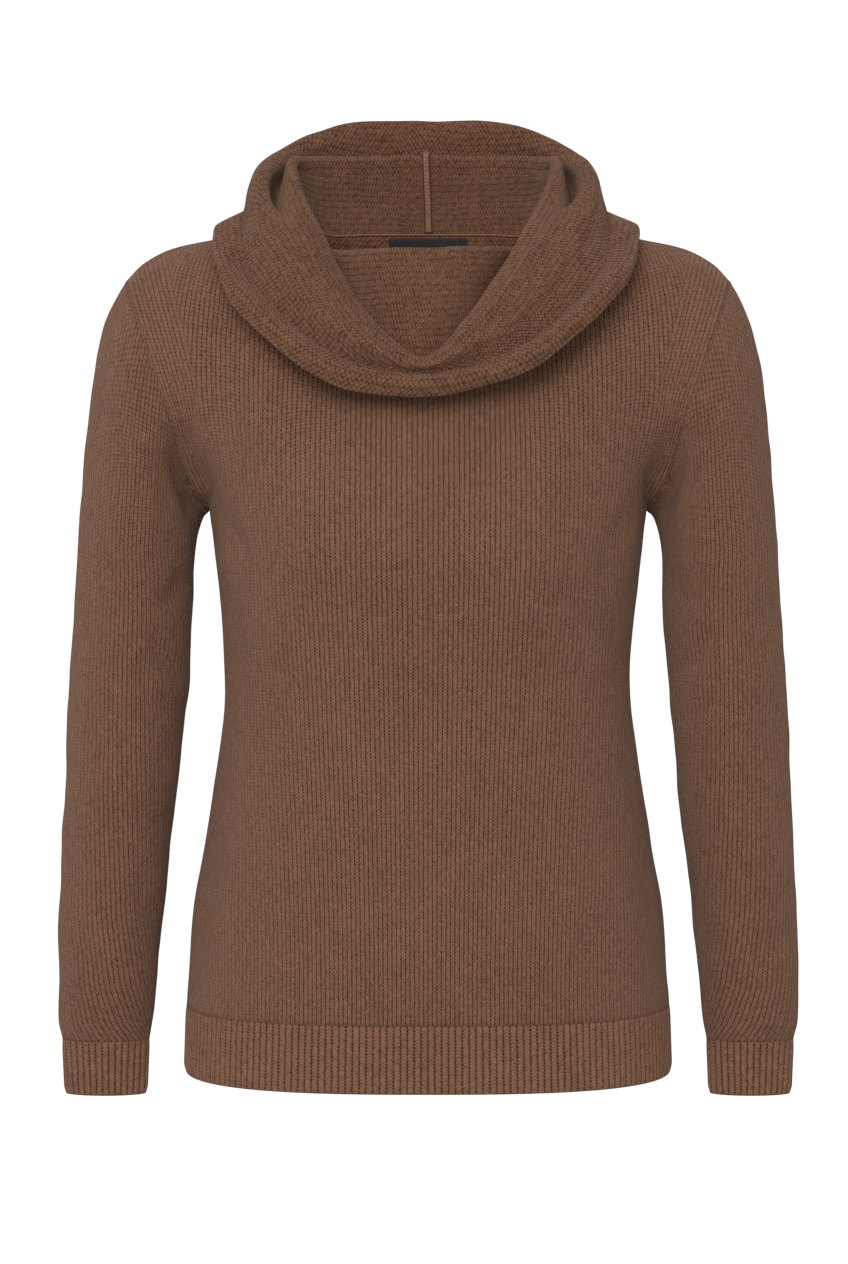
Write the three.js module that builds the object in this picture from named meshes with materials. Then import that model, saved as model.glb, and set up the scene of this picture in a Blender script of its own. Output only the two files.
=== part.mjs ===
// A cowl-neck pullover in fine knit, filled out as if worn, with nobody in it.
// Millimetres. +Z is up, -Y is the front and +X is the wearer's left.
// The origin lies between the high points of the shoulders, where a wearer holds the garment up.
import * as THREE from "three";

// Cloth and seams
const bodyWall = 2.4;
const collarWall = 2.6;
const seamGap = 0.3;

// Ribs: a plain inside, with ribs raised on the outside
const ribFurrowWall = 2.0;
const ribRaise = 1.0;
const hemRibPitch = 4.67;
const cuffRibPitch = 4.2;

// How finely each piece is divided
const shoulderColumns = 6;
const frontNeckColumns = 14;
const backNeckColumns = 10;
const lowerBodyRows = 10;
const yokeRows = 10;
const collarColumnsPerNeckColumn = 2;

// Heights of the body's own edges
const underarmHeight = -219;
const hemSeamHeight = -571.5;
const hemHeight = -618;

// Body sections from the underarm down. Each is a rounded oblong, square 2 being an ellipse.
const bodySections = [
  { z: -219, half: 157.3, front: 116, back: 91, square: 2.3 },
  { z: -248, half: 152.6, front: 117, back: 88, square: 2.3 },
  { z: -291, half: 147.5, front: 107, back: 81, square: 2.3 },
  { z: -345, half: 144, front: 97, back: 76, square: 2.3 },
  { z: -399, half: 150, front: 99, back: 84, square: 2.35 },
  { z: -453, half: 158.4, front: 105, back: 97, square: 2.45 },
  { z: -507, half: 167, front: 110, back: 106, square: 2.6 },
  { z: -565, half: 171.2, front: 113, back: 110, square: 2.7 },
  { z: -618, half: 173.2, front: 115, back: 112, square: 2.7 },
];

// The shoulder seam from the neck out to the armhole
const shoulderSeam = [
  { x: 86, y: 0, z: -7 },
  { x: 112, y: 1, z: -14.5 },
  { x: 150, y: 2, z: -24.3 },
  { x: 185, y: 2, z: -32.2 },
  { x: 205, y: 1, z: -43 },
  { x: 216.5, y: 0, z: -55 },
];

// Sleeve sections from the armhole down. Outer and inner are the ends of the section seen from the front,
// ahead and behind its depth either side of the middle, and middle how far forward the arm hangs.
const sleeveSections = [
  { outerX: 216.5, outerZ: -55, innerX: 157.3, innerZ: -219, ahead: 57, behind: 60, middle: 0 },
  { outerX: 231, outerZ: -86, innerX: 162.5, innerZ: -223, ahead: 59, behind: 61, middle: 0 },
  { outerX: 239, outerZ: -125, innerX: 166.2, innerZ: -233, ahead: 57, behind: 58, middle: 0 },
  { outerX: 244.8, outerZ: -172, innerX: 168.2, innerZ: -247, ahead: 54, behind: 55, middle: -1 },
  { outerX: 248.3, outerZ: -222, innerX: 169.2, innerZ: -265, ahead: 52, behind: 52, middle: -2 },
  { outerX: 251.8, outerZ: -275, innerX: 170.2, innerZ: -292, ahead: 50, behind: 50, middle: -3 },
  { outerX: 255.3, outerZ: -330, innerX: 172.7, innerZ: -335, ahead: 48, behind: 48, middle: -5 },
  { outerX: 257.8, outerZ: -390, innerX: 177.7, innerZ: -390, ahead: 45, behind: 45, middle: -8 },
  { outerX: 260.3, outerZ: -448, innerX: 183.7, innerZ: -448, ahead: 41, behind: 40, middle: -11 },
  { outerX: 262.3, outerZ: -506, innerX: 190.2, innerZ: -506, ahead: 36, behind: 35, middle: -14 },
  { outerX: 263.3, outerZ: -556, innerX: 195.7, innerZ: -556, ahead: 28, behind: 27, middle: -17 },
  { outerX: 262.3, outerZ: -582, innerX: 197.7, innerZ: -582, ahead: 21, behind: 20, middle: -18 },
  { outerX: 259.8, outerZ: -596, innerX: 200, innerZ: -596, ahead: 15, behind: 15, middle: -18 },
];
const cuffEnd = {
  outerX: 258,
  outerZ: -635,
  innerX: 201.4,
  innerZ: -635,
  ahead: 12,
  behind: 12,
  middle: -19,
};

// Collar folds, in the order the cloth takes from the neckline to its free edge. Each is a loop round the
// neck read at fourteen stations: the numbers are degrees round from the middle of the chest or the back.
const collarFolds = [
  {
    name: "neckline",
    right: [-86, 0, -7],
    rightFront60: [-71, -36, -41],
    rightFront30: [-37, -61, -66],
    rightFront15: [-19, -66.5, -72],
    front: [0, -68, -75],
    leftFront15: [19, -66.5, -72],
    leftFront30: [37, -61, -66],
    leftFront60: [71, -36, -41],
    left: [86, 0, -7],
    leftBack60: [76, 27, -18.5],
    leftBack30: [42, 42, -17.8],
    back: [0, 47, -17.3],
    rightBack30: [-42, 42, -17.8],
    rightBack60: [-76, 27, -18.5],
  },
  {
    name: "front stand fold",
    right: [-94, -1, 8],
    rightFront60: [-75, -39, -34],
    rightFront30: [-42, -68, -37.5],
    rightFront15: [-21, -74.5, -37.5],
    front: [-1, -76, -37.5],
    leftFront15: [20, -74.5, -37],
    leftFront30: [41, -68, -36],
    leftFront60: [73, -38, -31],
    left: [91, -1, 8],
    leftBack60: [80, 32, 6],
    leftBack30: [44, 51, 6],
    back: [0, 57, 5],
    rightBack30: [-44, 51, 6],
    rightBack60: [-81, 32, 6],
  },
  {
    name: "valley behind the V",
    right: [-97, -3, 20],
    rightFront60: [-77, -43, -27],
    rightFront30: [-46, -82, -84],
    rightFront15: [-25, -97, -111],
    front: [-2, -101.5, -121.5],
    leftFront15: [22, -97, -102],
    leftFront30: [41, -79, -74],
    leftFront60: [74, -42, -23],
    left: [92, -3, 20],
    leftBack60: [82, 34, 25],
    leftBack30: [47, 56, 27],
    back: [0, 62, 28],
    rightBack30: [-47, 56, 27],
    rightBack60: [-84, 34, 25],
  },
  {
    name: "V edge and back fold",
    right: [-97, -5, 31],
    rightFront60: [-80, -46, -14],
    rightFront30: [-52, -90, -69],
    rightFront15: [-28, -105, -101],
    front: [-3, -110, -115.5],
    leftFront15: [25, -105, -91],
    leftFront30: [47, -86, -58.5],
    leftFront60: [76, -45, -8],
    left: [91, -5, 31],
    leftBack60: [83, 36, 38],
    leftBack30: [50, 58, 41],
    back: [0, 64, 42],
    rightBack30: [-50, 58, 41],
    rightBack60: [-86, 36, 38],
  },
  {
    name: "valley outside the V",
    right: [-110, -5, 4],
    rightFront60: [-92, -54, -20],
    rightFront30: [-60, -97, -74],
    rightFront15: [-31, -111.5, -104],
    front: [-3, -116, -116.5],
    leftFront15: [29, -111, -94],
    leftFront30: [55, -94, -64],
    leftFront60: [88, -53, -14],
    left: [103, -5, 6],
    leftBack60: [95, 40, 21],
    leftBack30: [57, 65, 21],
    back: [0, 74, 22],
    rightBack30: [-57, 65, 21],
    rightBack60: [-97, 40, 21],
  },
  {
    name: "outer band",
    right: [-122, -5, 22],
    rightFront60: [-108, -63, -38],
    rightFront30: [-66, -105, -92],
    rightFront15: [-33, -116.5, -112],
    front: [-2, -118.5, -120],
    leftFront15: [32, -116, -105],
    leftFront30: [63, -103, -84],
    leftFront60: [104, -62, -33],
    left: [117.5, -5, 22],
    leftBack60: [99, 44, 47],
    leftBack30: [60, 68, 66],
    back: [-1, 80, 70],
    rightBack30: [-63, 68, 66],
    rightBack60: [-102, 44, 47],
  },
  {
    name: "crease above the roll",
    right: [-132, -8, -7],
    rightFront60: [-120, -68, -62],
    rightFront30: [-65, -105, -112],
    rightFront15: [-31, -112.5, -122.5],
    front: [0, -114.5, -125],
    leftFront15: [31, -112, -119],
    leftFront30: [66, -105, -105.5],
    leftFront60: [118, -68, -56],
    left: [128, -8, -7],
    leftBack60: [115, 50, -2],
    leftBack30: [72, 80, 8],
    back: [0, 95, 12],
    rightBack30: [-74, 80, 8],
    rightBack60: [-119, 50, -2],
  },
  {
    name: "roll",
    right: [-152, -10, -16.5],
    rightFront60: [-137, -79, -62],
    rightFront30: [-72, -117, -119],
    rightFront15: [-33, -121.5, -131],
    front: [0, -123.5, -133],
    leftFront15: [34, -121, -127.5],
    leftFront30: [73, -117, -112],
    leftFront60: [136.5, -79, -52],
    left: [148.5, -10, -15.5],
    leftBack60: [132, 54, -20],
    leftBack30: [82, 88, -16],
    back: [0, 102, -14],
    rightBack30: [-82, 88, -16],
    rightBack60: [-135, 54, -21],
  },
  {
    name: "bottom of the roll",
    right: [-149.5, -10, -20.2],
    rightFront60: [-136, -80, -74],
    rightFront30: [-70, -114.5, -130],
    rightFront15: [-32, -117.5, -139],
    front: [0, -119, -140.5],
    leftFront15: [32, -117, -135],
    leftFront30: [71, -114, -121],
    leftFront60: [136, -79.5, -62],
    left: [146.5, -10, -19],
    leftBack60: [128, 55, -33],
    leftBack30: [80, 86, -40],
    back: [0, 98, -42],
    rightBack30: [-80, 86, -40],
    rightBack60: [-131, 55, -35],
  },
  {
    name: "tucked free edge",
    right: [-134, -9, -16],
    rightFront60: [-119, -74, -70],
    rightFront30: [-59, -101, -126],
    rightFront15: [-29, -103, -136],
    front: [0, -104, -137.5],
    leftFront15: [29, -102.5, -132],
    leftFront30: [60, -100, -118],
    leftFront60: [119, -73, -60],
    left: [130, -9, -14.5],
    leftBack60: [112, 49, -29],
    leftBack30: [70, 73, -38],
    back: [0, 82, -42],
    rightBack30: [-70, 73, -38],
    rightBack60: [-115, 49, -31],
  },
];
const stationNames = [
  "right",
  "rightFront60",
  "rightFront30",
  "rightFront15",
  "front",
  "leftFront15",
  "leftFront30",
  "leftFront60",
  "left",
  "leftBack60",
  "leftBack30",
  "back",
  "rightBack30",
  "rightBack60",
];
// Stations on the front half of the neck, from right to left, and on the back half
const frontStations = 8;
const backStations = 6;
// How far the cloth spreads either side of a fold, so that no fold is sharper than the cloth
const foldSpread = 4.5;

// The seam that joins the collar band into a ring, and the strip sewn in at the back neck
const collarSeamWidth = 4.8;
const collarSeamHeight = 2.2;
const labelWidth = 58;
const labelDepth = 16;
const labelDrop = 2.5;
const labelThickness = 0.8;
const labelLift = 0.5;

// A smooth curve through every named column of a table, read where its key column has the given value.
function readTable(rows, key, value) {
  const rising = rows[1][key] > rows[0][key];
  let i = 0;
  while (i < rows.length - 2 && rising === rows[i + 1][key] < value) i += 1;
  const before = rows[Math.max(i - 1, 0)];
  const from = rows[i];
  const to = rows[i + 1];
  const after = rows[Math.min(i + 2, rows.length - 1)];
  const span = to[key] - from[key];
  const t = (value - from[key]) / span;
  const read = {};
  for (const name of Object.keys(from)) {
    const slopeFrom = ((to[name] - before[name]) / (to[key] - before[key])) * span;
    const slopeTo = ((after[name] - from[name]) / (after[key] - from[key])) * span;
    read[name] =
      from[name] * (2 * t ** 3 - 3 * t ** 2 + 1) +
      slopeFrom * (t ** 3 - 2 * t ** 2 + t) +
      to[name] * (3 * t ** 2 - 2 * t ** 3) +
      slopeTo * (t ** 3 - t ** 2);
  }
  return read;
}

// The same line divided into equal lengths of cloth.
function evenly(line, pieces) {
  const reached = [0];
  for (let i = 1; i < line.length; i += 1) {
    reached.push(reached[i - 1] + line[i].distanceTo(line[i - 1]));
  }
  const points = [];
  let i = 0;
  for (let k = 0; k <= pieces; k += 1) {
    const want = (reached.at(-1) * k) / pieces;
    while (i < line.length - 2 && reached[i + 1] < want) i += 1;
    const share = (want - reached[i]) / (reached[i + 1] - reached[i]);
    points.push(line[i].clone().lerp(line[i + 1], Math.min(Math.max(share, 0), 1)));
  }
  return points;
}

// Half of a body section: the front runs from the right side seam to the left, the back returns.
function halfSection(section, isFront, columns) {
  const line = [];
  const depth = isFront ? -section.front : section.back;
  for (let k = 0; k <= 360; k += 1) {
    const turn = (Math.PI * k) / 360;
    const across = Math.sign(Math.cos(turn)) * Math.abs(Math.cos(turn)) ** (2 / section.square);
    const out = Math.sin(turn) ** (2 / section.square);
    line.push(new THREE.Vector3((isFront ? -1 : 1) * section.half * across, depth * out, section.z));
  }
  return evenly(line, columns);
}

// One point of a sleeve section. Turn 0 is the outer end, a quarter turn the front and a half turn
// the inner end.
function sleevePoint(section, turn, side) {
  const share = (1 + Math.cos(turn)) / 2;
  const forward = Math.sin(turn);
  const x = section.innerX + (section.outerX - section.innerX) * share;
  const z = section.innerZ + (section.outerZ - section.innerZ) * share;
  const depth = forward > 0 ? section.ahead : section.behind;
  return new THREE.Vector3(side * x, section.middle - depth * forward, z);
}

// The shoulder seam on one side, from the armhole in to the neck.
function shoulderLine(side) {
  const line = [];
  const neckEnd = shoulderSeam[0].x;
  const armholeEnd = shoulderSeam.at(-1).x;
  for (let k = 0; k <= 60; k += 1) {
    const read = readTable(shoulderSeam, "x", armholeEnd + ((neckEnd - armholeEnd) * k) / 60);
    line.push(new THREE.Vector3(side * read.x, read.y, read.z));
  }
  return evenly(line, shoulderColumns);
}

// A point of a collar fold, counted in stations from the right side.
const foldLoops = collarFolds.map(
  (fold) =>
    new THREE.CatmullRomCurve3(
      stationNames.map((station) => new THREE.Vector3(...fold[station])),
      true,
      "centripetal",
    ),
);
function foldPoint(fold, station) {
  return foldLoops[fold].getPoint((station / stationNames.length) % 1);
}

// The neckline's points on the front, from the right to the left, and on the back, from left to right.
const frontNeck = [];
for (let k = 0; k <= frontNeckColumns; k += 1) {
  frontNeck.push(foldPoint(0, (frontStations * k) / frontNeckColumns));
}
const backNeck = [];
for (let k = 0; k <= backNeckColumns; k += 1) {
  backNeck.push(foldPoint(0, frontStations + (backStations * k) / backNeckColumns));
}

// The yoke fills the part above the underarm, from the armholes to the shoulders and the neckline.
// Over the shoulders it rounds back to the seam, at the neck it stays nearly straight.
function yokeRowsFrom(bottom, top, armholes) {
  const last = bottom.length - 1;
  const rows = [];
  for (let i = 0; i <= yokeRows; i += 1) {
    const rise = i / yokeRows;
    const row = [];
    for (let j = 0; j <= last; j += 1) {
      const inNeck = Math.min(Math.max((Math.min(j, last - j) - shoulderColumns + 1) / 4, 0), 1);
      const roundness = 1 - 0.75 * inNeck;
      const weights = {
        x: rise,
        y: rise + roundness * (1 - Math.cos((rise * Math.PI) / 2) - rise),
        z: rise + roundness * (Math.sin((rise * Math.PI) / 2) - rise),
      };
      const point = new THREE.Vector3();
      for (const axis of ["x", "y", "z"]) {
        const blend = (from, to) => from[axis] + (to[axis] - from[axis]) * weights[axis];
        point[axis] = blend(bottom[j], top[j]);
        for (const [edge, steps] of [
          [armholes[0], j],
          [armholes[1], last - j],
        ]) {
          const hold = Math.max(1 - steps / (last * 0.34), 0) ** 2;
          point[axis] += hold * (edge[i][axis] - blend(edge[0], edge.at(-1)));
        }
      }
      row.push(point);
    }
    rows.push(row);
  }
  return rows;
}

// A panel of the body: its own half of each section up to the underarm, then the yoke.
function bodyPanel(isFront) {
  const neck = isFront ? frontNeck : backNeck;
  const near = isFront ? -1 : 1;
  const columns = 2 * shoulderColumns + neck.length - 1;
  const rows = [];
  for (let i = 0; i <= lowerBodyRows; i += 1) {
    const z = hemSeamHeight + ((underarmHeight - hemSeamHeight) * i) / lowerBodyRows;
    rows.push(halfSection(readTable(bodySections, "z", z), isFront, columns));
  }
  const top = [
    ...shoulderLine(near).slice(0, -1),
    ...neck,
    ...shoulderLine(-near).reverse().slice(1),
  ];
  const armholes = [near, -near].map((side) => {
    const edge = [];
    for (let i = 0; i <= yokeRows; i += 1) {
      const turn = Math.PI * (1 - i / yokeRows);
      edge.push(sleevePoint(sleeveSections[0], isFront ? turn : -turn, side));
    }
    return edge;
  });
  const bottom = rows.pop();
  return [...rows, ...yokeRowsFrom(bottom, top, armholes)];
}

// A sleeve as rings of points, from the armhole to the cuff seam.
function sleeveRings(side) {
  return sleeveSections.map((section) => {
    const ring = [];
    for (let k = 0; k < 2 * yokeRows; k += 1) {
      ring.push(sleevePoint(section, (Math.PI * k) / yokeRows, side));
    }
    return ring;
  });
}

// Outward normals of sheets that run smoothly into each other, which share them along their common edge.
// Facing says which way round a sheet's rows and columns turn.
function sheetNormals(...smooth) {
  const sums = new Map();
  const keyOf = (p) => [p.x, p.y, p.z].map((value) => (value + 0).toFixed(3)).join(" ");
  for (const sheet of smooth) {
    const columns = sheet.rows[0].length;
    for (let i = 0; i + 1 < sheet.rows.length; i += 1) {
      for (let j = 0; j < (sheet.closed ? columns : columns - 1); j += 1) {
        const next = (j + 1) % columns;
        const [row, above] = [sheet.rows[i], sheet.rows[i + 1]];
        const corners = [row[j], row[next], above[next], above[j]];
        const across = corners[2].clone().sub(corners[0]);
        const normal = across.cross(corners[3].clone().sub(corners[1])).multiplyScalar(sheet.facing);
        for (const corner of corners) {
          const key = keyOf(corner);
          sums.set(key, (sums.get(key) ?? new THREE.Vector3()).clone().add(normal));
        }
      }
    }
  }
  const normalAt = (p) => sums.get(keyOf(p)).clone().normalize();
  return smooth.map((sheet) => sheet.rows.map((row) => row.map(normalAt)));
}

// A mesh from numbered points and triangles.
function meshFrom(points, triangles) {
  const geometry = new THREE.BufferGeometry();
  geometry.setAttribute(
    "position",
    new THREE.Float32BufferAttribute(
      points.flatMap((p) => [p.x, p.y, p.z]),
      3,
    ),
  );
  geometry.setIndex(triangles.flat());
  geometry.computeVertexNormals();
  return geometry;
}

// Turns a sheet into a wall. Shifts moves the points at the seams apart, along the cloth.
function clothWall(sheet, normals, shifts, thickness) {
  const { rows, closed, facing } = sheet;
  const columns = rows[0].length;
  const points = [];
  for (const offset of [thickness / 2, -thickness / 2]) {
    rows.forEach((row, i) =>
      row.forEach((point, j) => {
        points.push(point.clone().add(shifts[i][j]).addScaledVector(normals[i][j], offset));
      }),
    );
  }
  const outer = (i, j) => i * columns + (j % columns);
  const inner = (i, j) => rows.length * columns + outer(i, j);
  const triangles = [];
  // A quad is cut along its shorter diagonal, so that the two sides of a seam are cut alike.
  const quad = (a, b, c, d) => {
    const longer = points[a].distanceTo(points[c]) > points[b].distanceTo(points[d]);
    const [p, q, r, t] = longer ? [b, c, d, a] : [a, b, c, d];
    if (facing > 0) triangles.push([p, q, r], [p, r, t]);
    else triangles.push([r, q, p], [t, r, p]);
  };
  const lastColumn = closed ? columns : columns - 1;
  const lastRow = rows.length - 1;
  for (let i = 0; i < lastRow; i += 1) {
    for (let j = 0; j < lastColumn; j += 1) {
      quad(outer(i, j), outer(i, j + 1), outer(i + 1, j + 1), outer(i + 1, j));
      quad(inner(i, j), inner(i + 1, j), inner(i + 1, j + 1), inner(i, j + 1));
    }
    if (!closed) {
      const last = lastColumn;
      quad(outer(i, 0), outer(i + 1, 0), inner(i + 1, 0), inner(i, 0));
      quad(outer(i + 1, last), outer(i, last), inner(i, last), inner(i + 1, last));
    }
  }
  for (let j = 0; j < lastColumn; j += 1) {
    quad(outer(0, j + 1), outer(0, j), inner(0, j), inner(0, j + 1));
    quad(outer(lastRow, j), outer(lastRow, j + 1), inner(lastRow, j + 1), inner(lastRow, j));
  }
  return meshFrom(points, triangles);
}

function noShifts(rows) {
  return rows.map((row) => row.map(() => new THREE.Vector3()));
}

// A shift of half a seam gap along the cloth, away from the seam at its edge.
function alongCloth(from, to, normal) {
  const direction = to.clone().sub(from).normalize();
  return direction.addScaledVector(normal, -direction.dot(normal)).setLength(seamGap / 2);
}

// The wall between two loops, ribbed outside and plain inside. Each rib is a furrow and a flat crest.
function ribBand(topLine, bottomLine, outward, ribs, closed, facing) {
  const furrow = ribFurrowWall - bodyWall / 2;
  const profile = [
    { at: 0, out: furrow },
    { at: 0.3, out: furrow + ribRaise },
    { at: 0.7, out: furrow + ribRaise },
  ];
  const outerPlaces = [];
  for (let rib = 0; rib < ribs; rib += 1) {
    for (const { at, out } of profile) outerPlaces.push({ share: (rib + at) / ribs, out });
  }
  const innerCount = Math.round(ribs / 2);
  const innerPlaces = [];
  for (let k = 0; k < innerCount; k += 1) {
    innerPlaces.push({ share: k / innerCount, out: -bodyWall / 2 });
  }
  if (!closed) {
    outerPlaces.push({ share: 1, out: furrow });
    innerPlaces.push({ share: 1, out: -bodyWall / 2 });
  }
  const points = [];
  const place = (line, { share, out }) => {
    const at = share * (line.length - 1);
    const i = Math.min(Math.floor(at), line.length - 2);
    const point = line[i].clone().lerp(line[i + 1], at - i);
    points.push(point.addScaledVector(outward(line[i], line[i + 1]), out));
    return points.length - 1;
  };
  const outerTop = outerPlaces.map((p) => place(topLine, p));
  const outerBottom = outerPlaces.map((p) => place(bottomLine, p));
  const innerTop = innerPlaces.map((p) => place(topLine, p));
  const innerBottom = innerPlaces.map((p) => place(bottomLine, p));
  const triangles = [];
  const add = (a, b, c) => triangles.push(facing > 0 ? [a, b, c] : [c, b, a]);
  const strip = (upper, lower) => {
    const count = closed ? upper.length : upper.length - 1;
    for (let k = 0; k < count; k += 1) {
      const next = (k + 1) % upper.length;
      add(lower[k], lower[next], upper[next]);
      add(lower[k], upper[next], upper[k]);
    }
  };
  // An edge joins the many points outside to the few inside, whichever is next along the band.
  const edge = (outer, inner) => {
    const outerEnd = closed ? outer.length : outer.length - 1;
    const innerEnd = closed ? inner.length : inner.length - 1;
    let o = 0;
    let i = 0;
    while (o < outerEnd || i < innerEnd) {
      const from = outer[o % outer.length];
      const base = inner[i % inner.length];
      if (i === innerEnd || (o < outerEnd && (o + 0.5) / outerEnd <= (i + 0.5) / innerEnd)) {
        add(from, outer[(o + 1) % outer.length], base);
        o += 1;
      } else {
        add(from, inner[(i + 1) % inner.length], base);
        i += 1;
      }
    }
  };
  strip(outerTop, outerBottom);
  strip(innerBottom, innerTop);
  edge(outerTop, innerTop);
  edge([...outerBottom].reverse(), [...innerBottom].reverse());
  if (!closed) {
    add(outerBottom[0], outerTop[0], innerTop[0]);
    add(outerBottom[0], innerTop[0], innerBottom[0]);
    add(outerTop.at(-1), outerBottom.at(-1), innerBottom.at(-1));
    add(outerTop.at(-1), innerBottom.at(-1), innerTop.at(-1));
  }
  return meshFrom(points, triangles);
}

// Where each column of the collar lies, in stations round the neck
const collarStations = [];
for (let k = 0; k < frontNeckColumns * collarColumnsPerNeckColumn; k += 1) {
  collarStations.push((frontStations * k) / (frontNeckColumns * collarColumnsPerNeckColumn));
}
for (let k = 0; k < backNeckColumns * collarColumnsPerNeckColumn; k += 1) {
  collarStations.push(frontStations + (backStations * k) / (backNeckColumns * collarColumnsPerNeckColumn));
}

// A column of the collar: a smooth line through the folds, each spread as wide as the cloth needs.
function collarColumn(column) {
  const neck = [...frontNeck.slice(0, -1), ...backNeck.slice(0, -1)];
  const at = column / collarColumnsPerNeckColumn;
  const start = neck[Math.floor(at)].clone().lerp(neck[Math.ceil(at) % neck.length], at % 1);
  const keys = [start];
  for (let fold = 1; fold < collarFolds.length; fold += 1) {
    keys.push(foldPoint(fold, collarStations[column]));
  }
  const line = [start];
  for (let k = 1; k < keys.length - 1; k += 1) {
    const back = keys[k - 1].clone().sub(keys[k]);
    const ahead = keys[k + 1].clone().sub(keys[k]);
    const spread = Math.min(foldSpread, 0.36 * back.length(), 0.36 * ahead.length());
    back.normalize();
    ahead.normalize();
    const inwards = back.clone().add(ahead).multiplyScalar(spread / 2);
    const onwards = ahead.clone().sub(back).setLength(spread);
    line.push(keys[k].clone().add(inwards).sub(onwards));
    line.push(keys[k]);
    line.push(keys[k].clone().add(inwards).add(onwards));
  }
  line.push(keys.at(-1));
  return new THREE.CatmullRomCurve3(line, false, "centripetal");
}

// Where the collar's rows lie, counted in points of that line, with some between where the cloth runs far.
const collarRowPlaces = [3.5, 12.5, 15.5];
for (let k = 0; k <= 25; k += 1) collarRowPlaces.push(k);
collarRowPlaces.sort((a, b) => a - b);
function collarRows() {
  const lines = collarStations.map((_, column) => collarColumn(column));
  const pointCount = lines[0].points.length;
  return collarRowPlaces.map((place) => lines.map((line) => line.getPoint(place / (pointCount - 1))));
}

// Sheets of the sewn pieces
const sheets = {
  front_panel: { rows: bodyPanel(true), closed: false, facing: 1 },
  back_panel: { rows: bodyPanel(false), closed: false, facing: 1 },
  right_sleeve: { rows: sleeveRings(-1), closed: true, facing: -1 },
  left_sleeve: { rows: sleeveRings(1), closed: true, facing: 1 },
  cowl_collar: { rows: collarRows(), closed: true, facing: 1 },
};
const normals = {};
[normals.front_panel, normals.back_panel] = sheetNormals(sheets.front_panel, sheets.back_panel);
for (const name of ["right_sleeve", "left_sleeve", "cowl_collar"]) {
  [normals[name]] = sheetNormals(sheets[name]);
}
const shifts = Object.fromEntries(Object.keys(sheets).map((name) => [name, noShifts(sheets[name].rows)]));

// Hem and cuff seams are level, so the cloth meets them upright.
for (const [name, level] of [
  ["front_panel", 0],
  ["back_panel", 0],
  ["right_sleeve", sleeveSections.length - 1],
  ["left_sleeve", sleeveSections.length - 1],
]) {
  for (const normal of normals[name][level]) normal.setZ(0).normalize();
  for (const shift of shifts[name][level]) shift.z += seamGap / 2;
}

// Side seams and shoulder seams of the two body panels
const yokeTop = lowerBodyRows + yokeRows;
for (const name of ["front_panel", "back_panel"]) {
  const { rows } = sheets[name];
  const last = rows[0].length - 1;
  for (let i = 0; i <= lowerBodyRows; i += 1) {
    shifts[name][i][0].add(alongCloth(rows[i][0], rows[i][1], normals[name][i][0]));
    shifts[name][i][last].add(alongCloth(rows[i][last], rows[i][last - 1], normals[name][i][last]));
  }
  for (let step = 0; step <= shoulderColumns; step += 1) {
    for (const j of [step, last - step]) {
      const level = new THREE.Vector3(0, name === "front_panel" ? -seamGap / 2 : seamGap / 2, 0);
      shifts[name][yokeTop][j].add(level);
    }
  }
}

// Armhole seams: the body stops short of the seam line, and the sleeve starts as far beyond it.
for (const [name, side] of [
  ["right_sleeve", -1],
  ["left_sleeve", 1],
]) {
  const sleeve = sheets[name].rows;
  for (let k = 0; k < 2 * yokeRows; k += 1) {
    const places = [];
    if (k <= yokeRows) places.push({ panel: "front_panel", i: yokeTop - k, first: side < 0 });
    if (k >= yokeRows || k === 0) {
      const i = k === 0 ? yokeTop : k - yokeRows + lowerBodyRows;
      places.push({ panel: "back_panel", i, first: side > 0 });
    }
    const across = sleeve[1][k].clone().sub(sleeve[0][k]).normalize();
    for (const place of places) {
      const row = sheets[place.panel].rows[place.i];
      place.j = place.first ? 0 : row.length - 1;
      const inside = place.first ? 1 : row.length - 2;
      across.add(row[place.j].clone().sub(row[inside]).normalize().divideScalar(places.length));
    }
    const [{ panel, i, j }] = places;
    const normal = normals[panel][i][j].clone().add(normals[name][0][k]).normalize();
    across.addScaledVector(normal, -across.dot(normal)).setLength(seamGap / 2);
    normals[name][0][k] = normal;
    shifts[name][0][k].add(across);
    for (const place of places) {
      normals[place.panel][place.i][place.j] = normal;
      shifts[place.panel][place.i][place.j].sub(across);
    }
  }
}

// The neckline seam: the collar's first row shares the normals of the neckline that it is sewn to.
const neckPlaces = [];
for (let k = 0; k < frontNeckColumns; k += 1) {
  neckPlaces.push({ panel: "front_panel", j: shoulderColumns + k });
}
for (let k = 0; k < backNeckColumns; k += 1) {
  neckPlaces.push({ panel: "back_panel", j: shoulderColumns + k });
}
let neckNormals = neckPlaces.map(({ panel, j }, k) => {
  const collarNormal = normals.cowl_collar[0][k * collarColumnsPerNeckColumn];
  return normals[panel][yokeTop][j].clone().add(collarNormal).normalize();
});
for (let pass = 0; pass < 2; pass += 1) {
  neckNormals = neckNormals.map((normal, k, all) =>
    normal.clone().multiplyScalar(2).add(all.at(k - 1)).add(all[(k + 1) % all.length]).normalize(),
  );
}
const neckLine = neckPlaces.map(({ panel, j }) => sheets[panel].rows[yokeTop][j]);
const neckAcross = neckLine.map((_, k) => {
  const onwards = neckLine[(k + 1) % neckLine.length].clone().sub(neckLine.at(k - 1));
  return neckNormals[k].clone().cross(onwards).setLength(seamGap / 2);
});
neckPlaces.forEach(({ panel, j }, k) => {
  const both = [[panel, j]];
  if (k === 0) both.push(["back_panel", sheets.back_panel.rows[0].length - 1 - shoulderColumns]);
  if (k === frontNeckColumns) both.push(["front_panel", shoulderColumns + frontNeckColumns]);
  for (const [name, column] of both) {
    normals[name][yokeTop][column] = neckNormals[k];
    shifts[name][yokeTop][column].sub(neckAcross[k]);
  }
});
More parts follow.
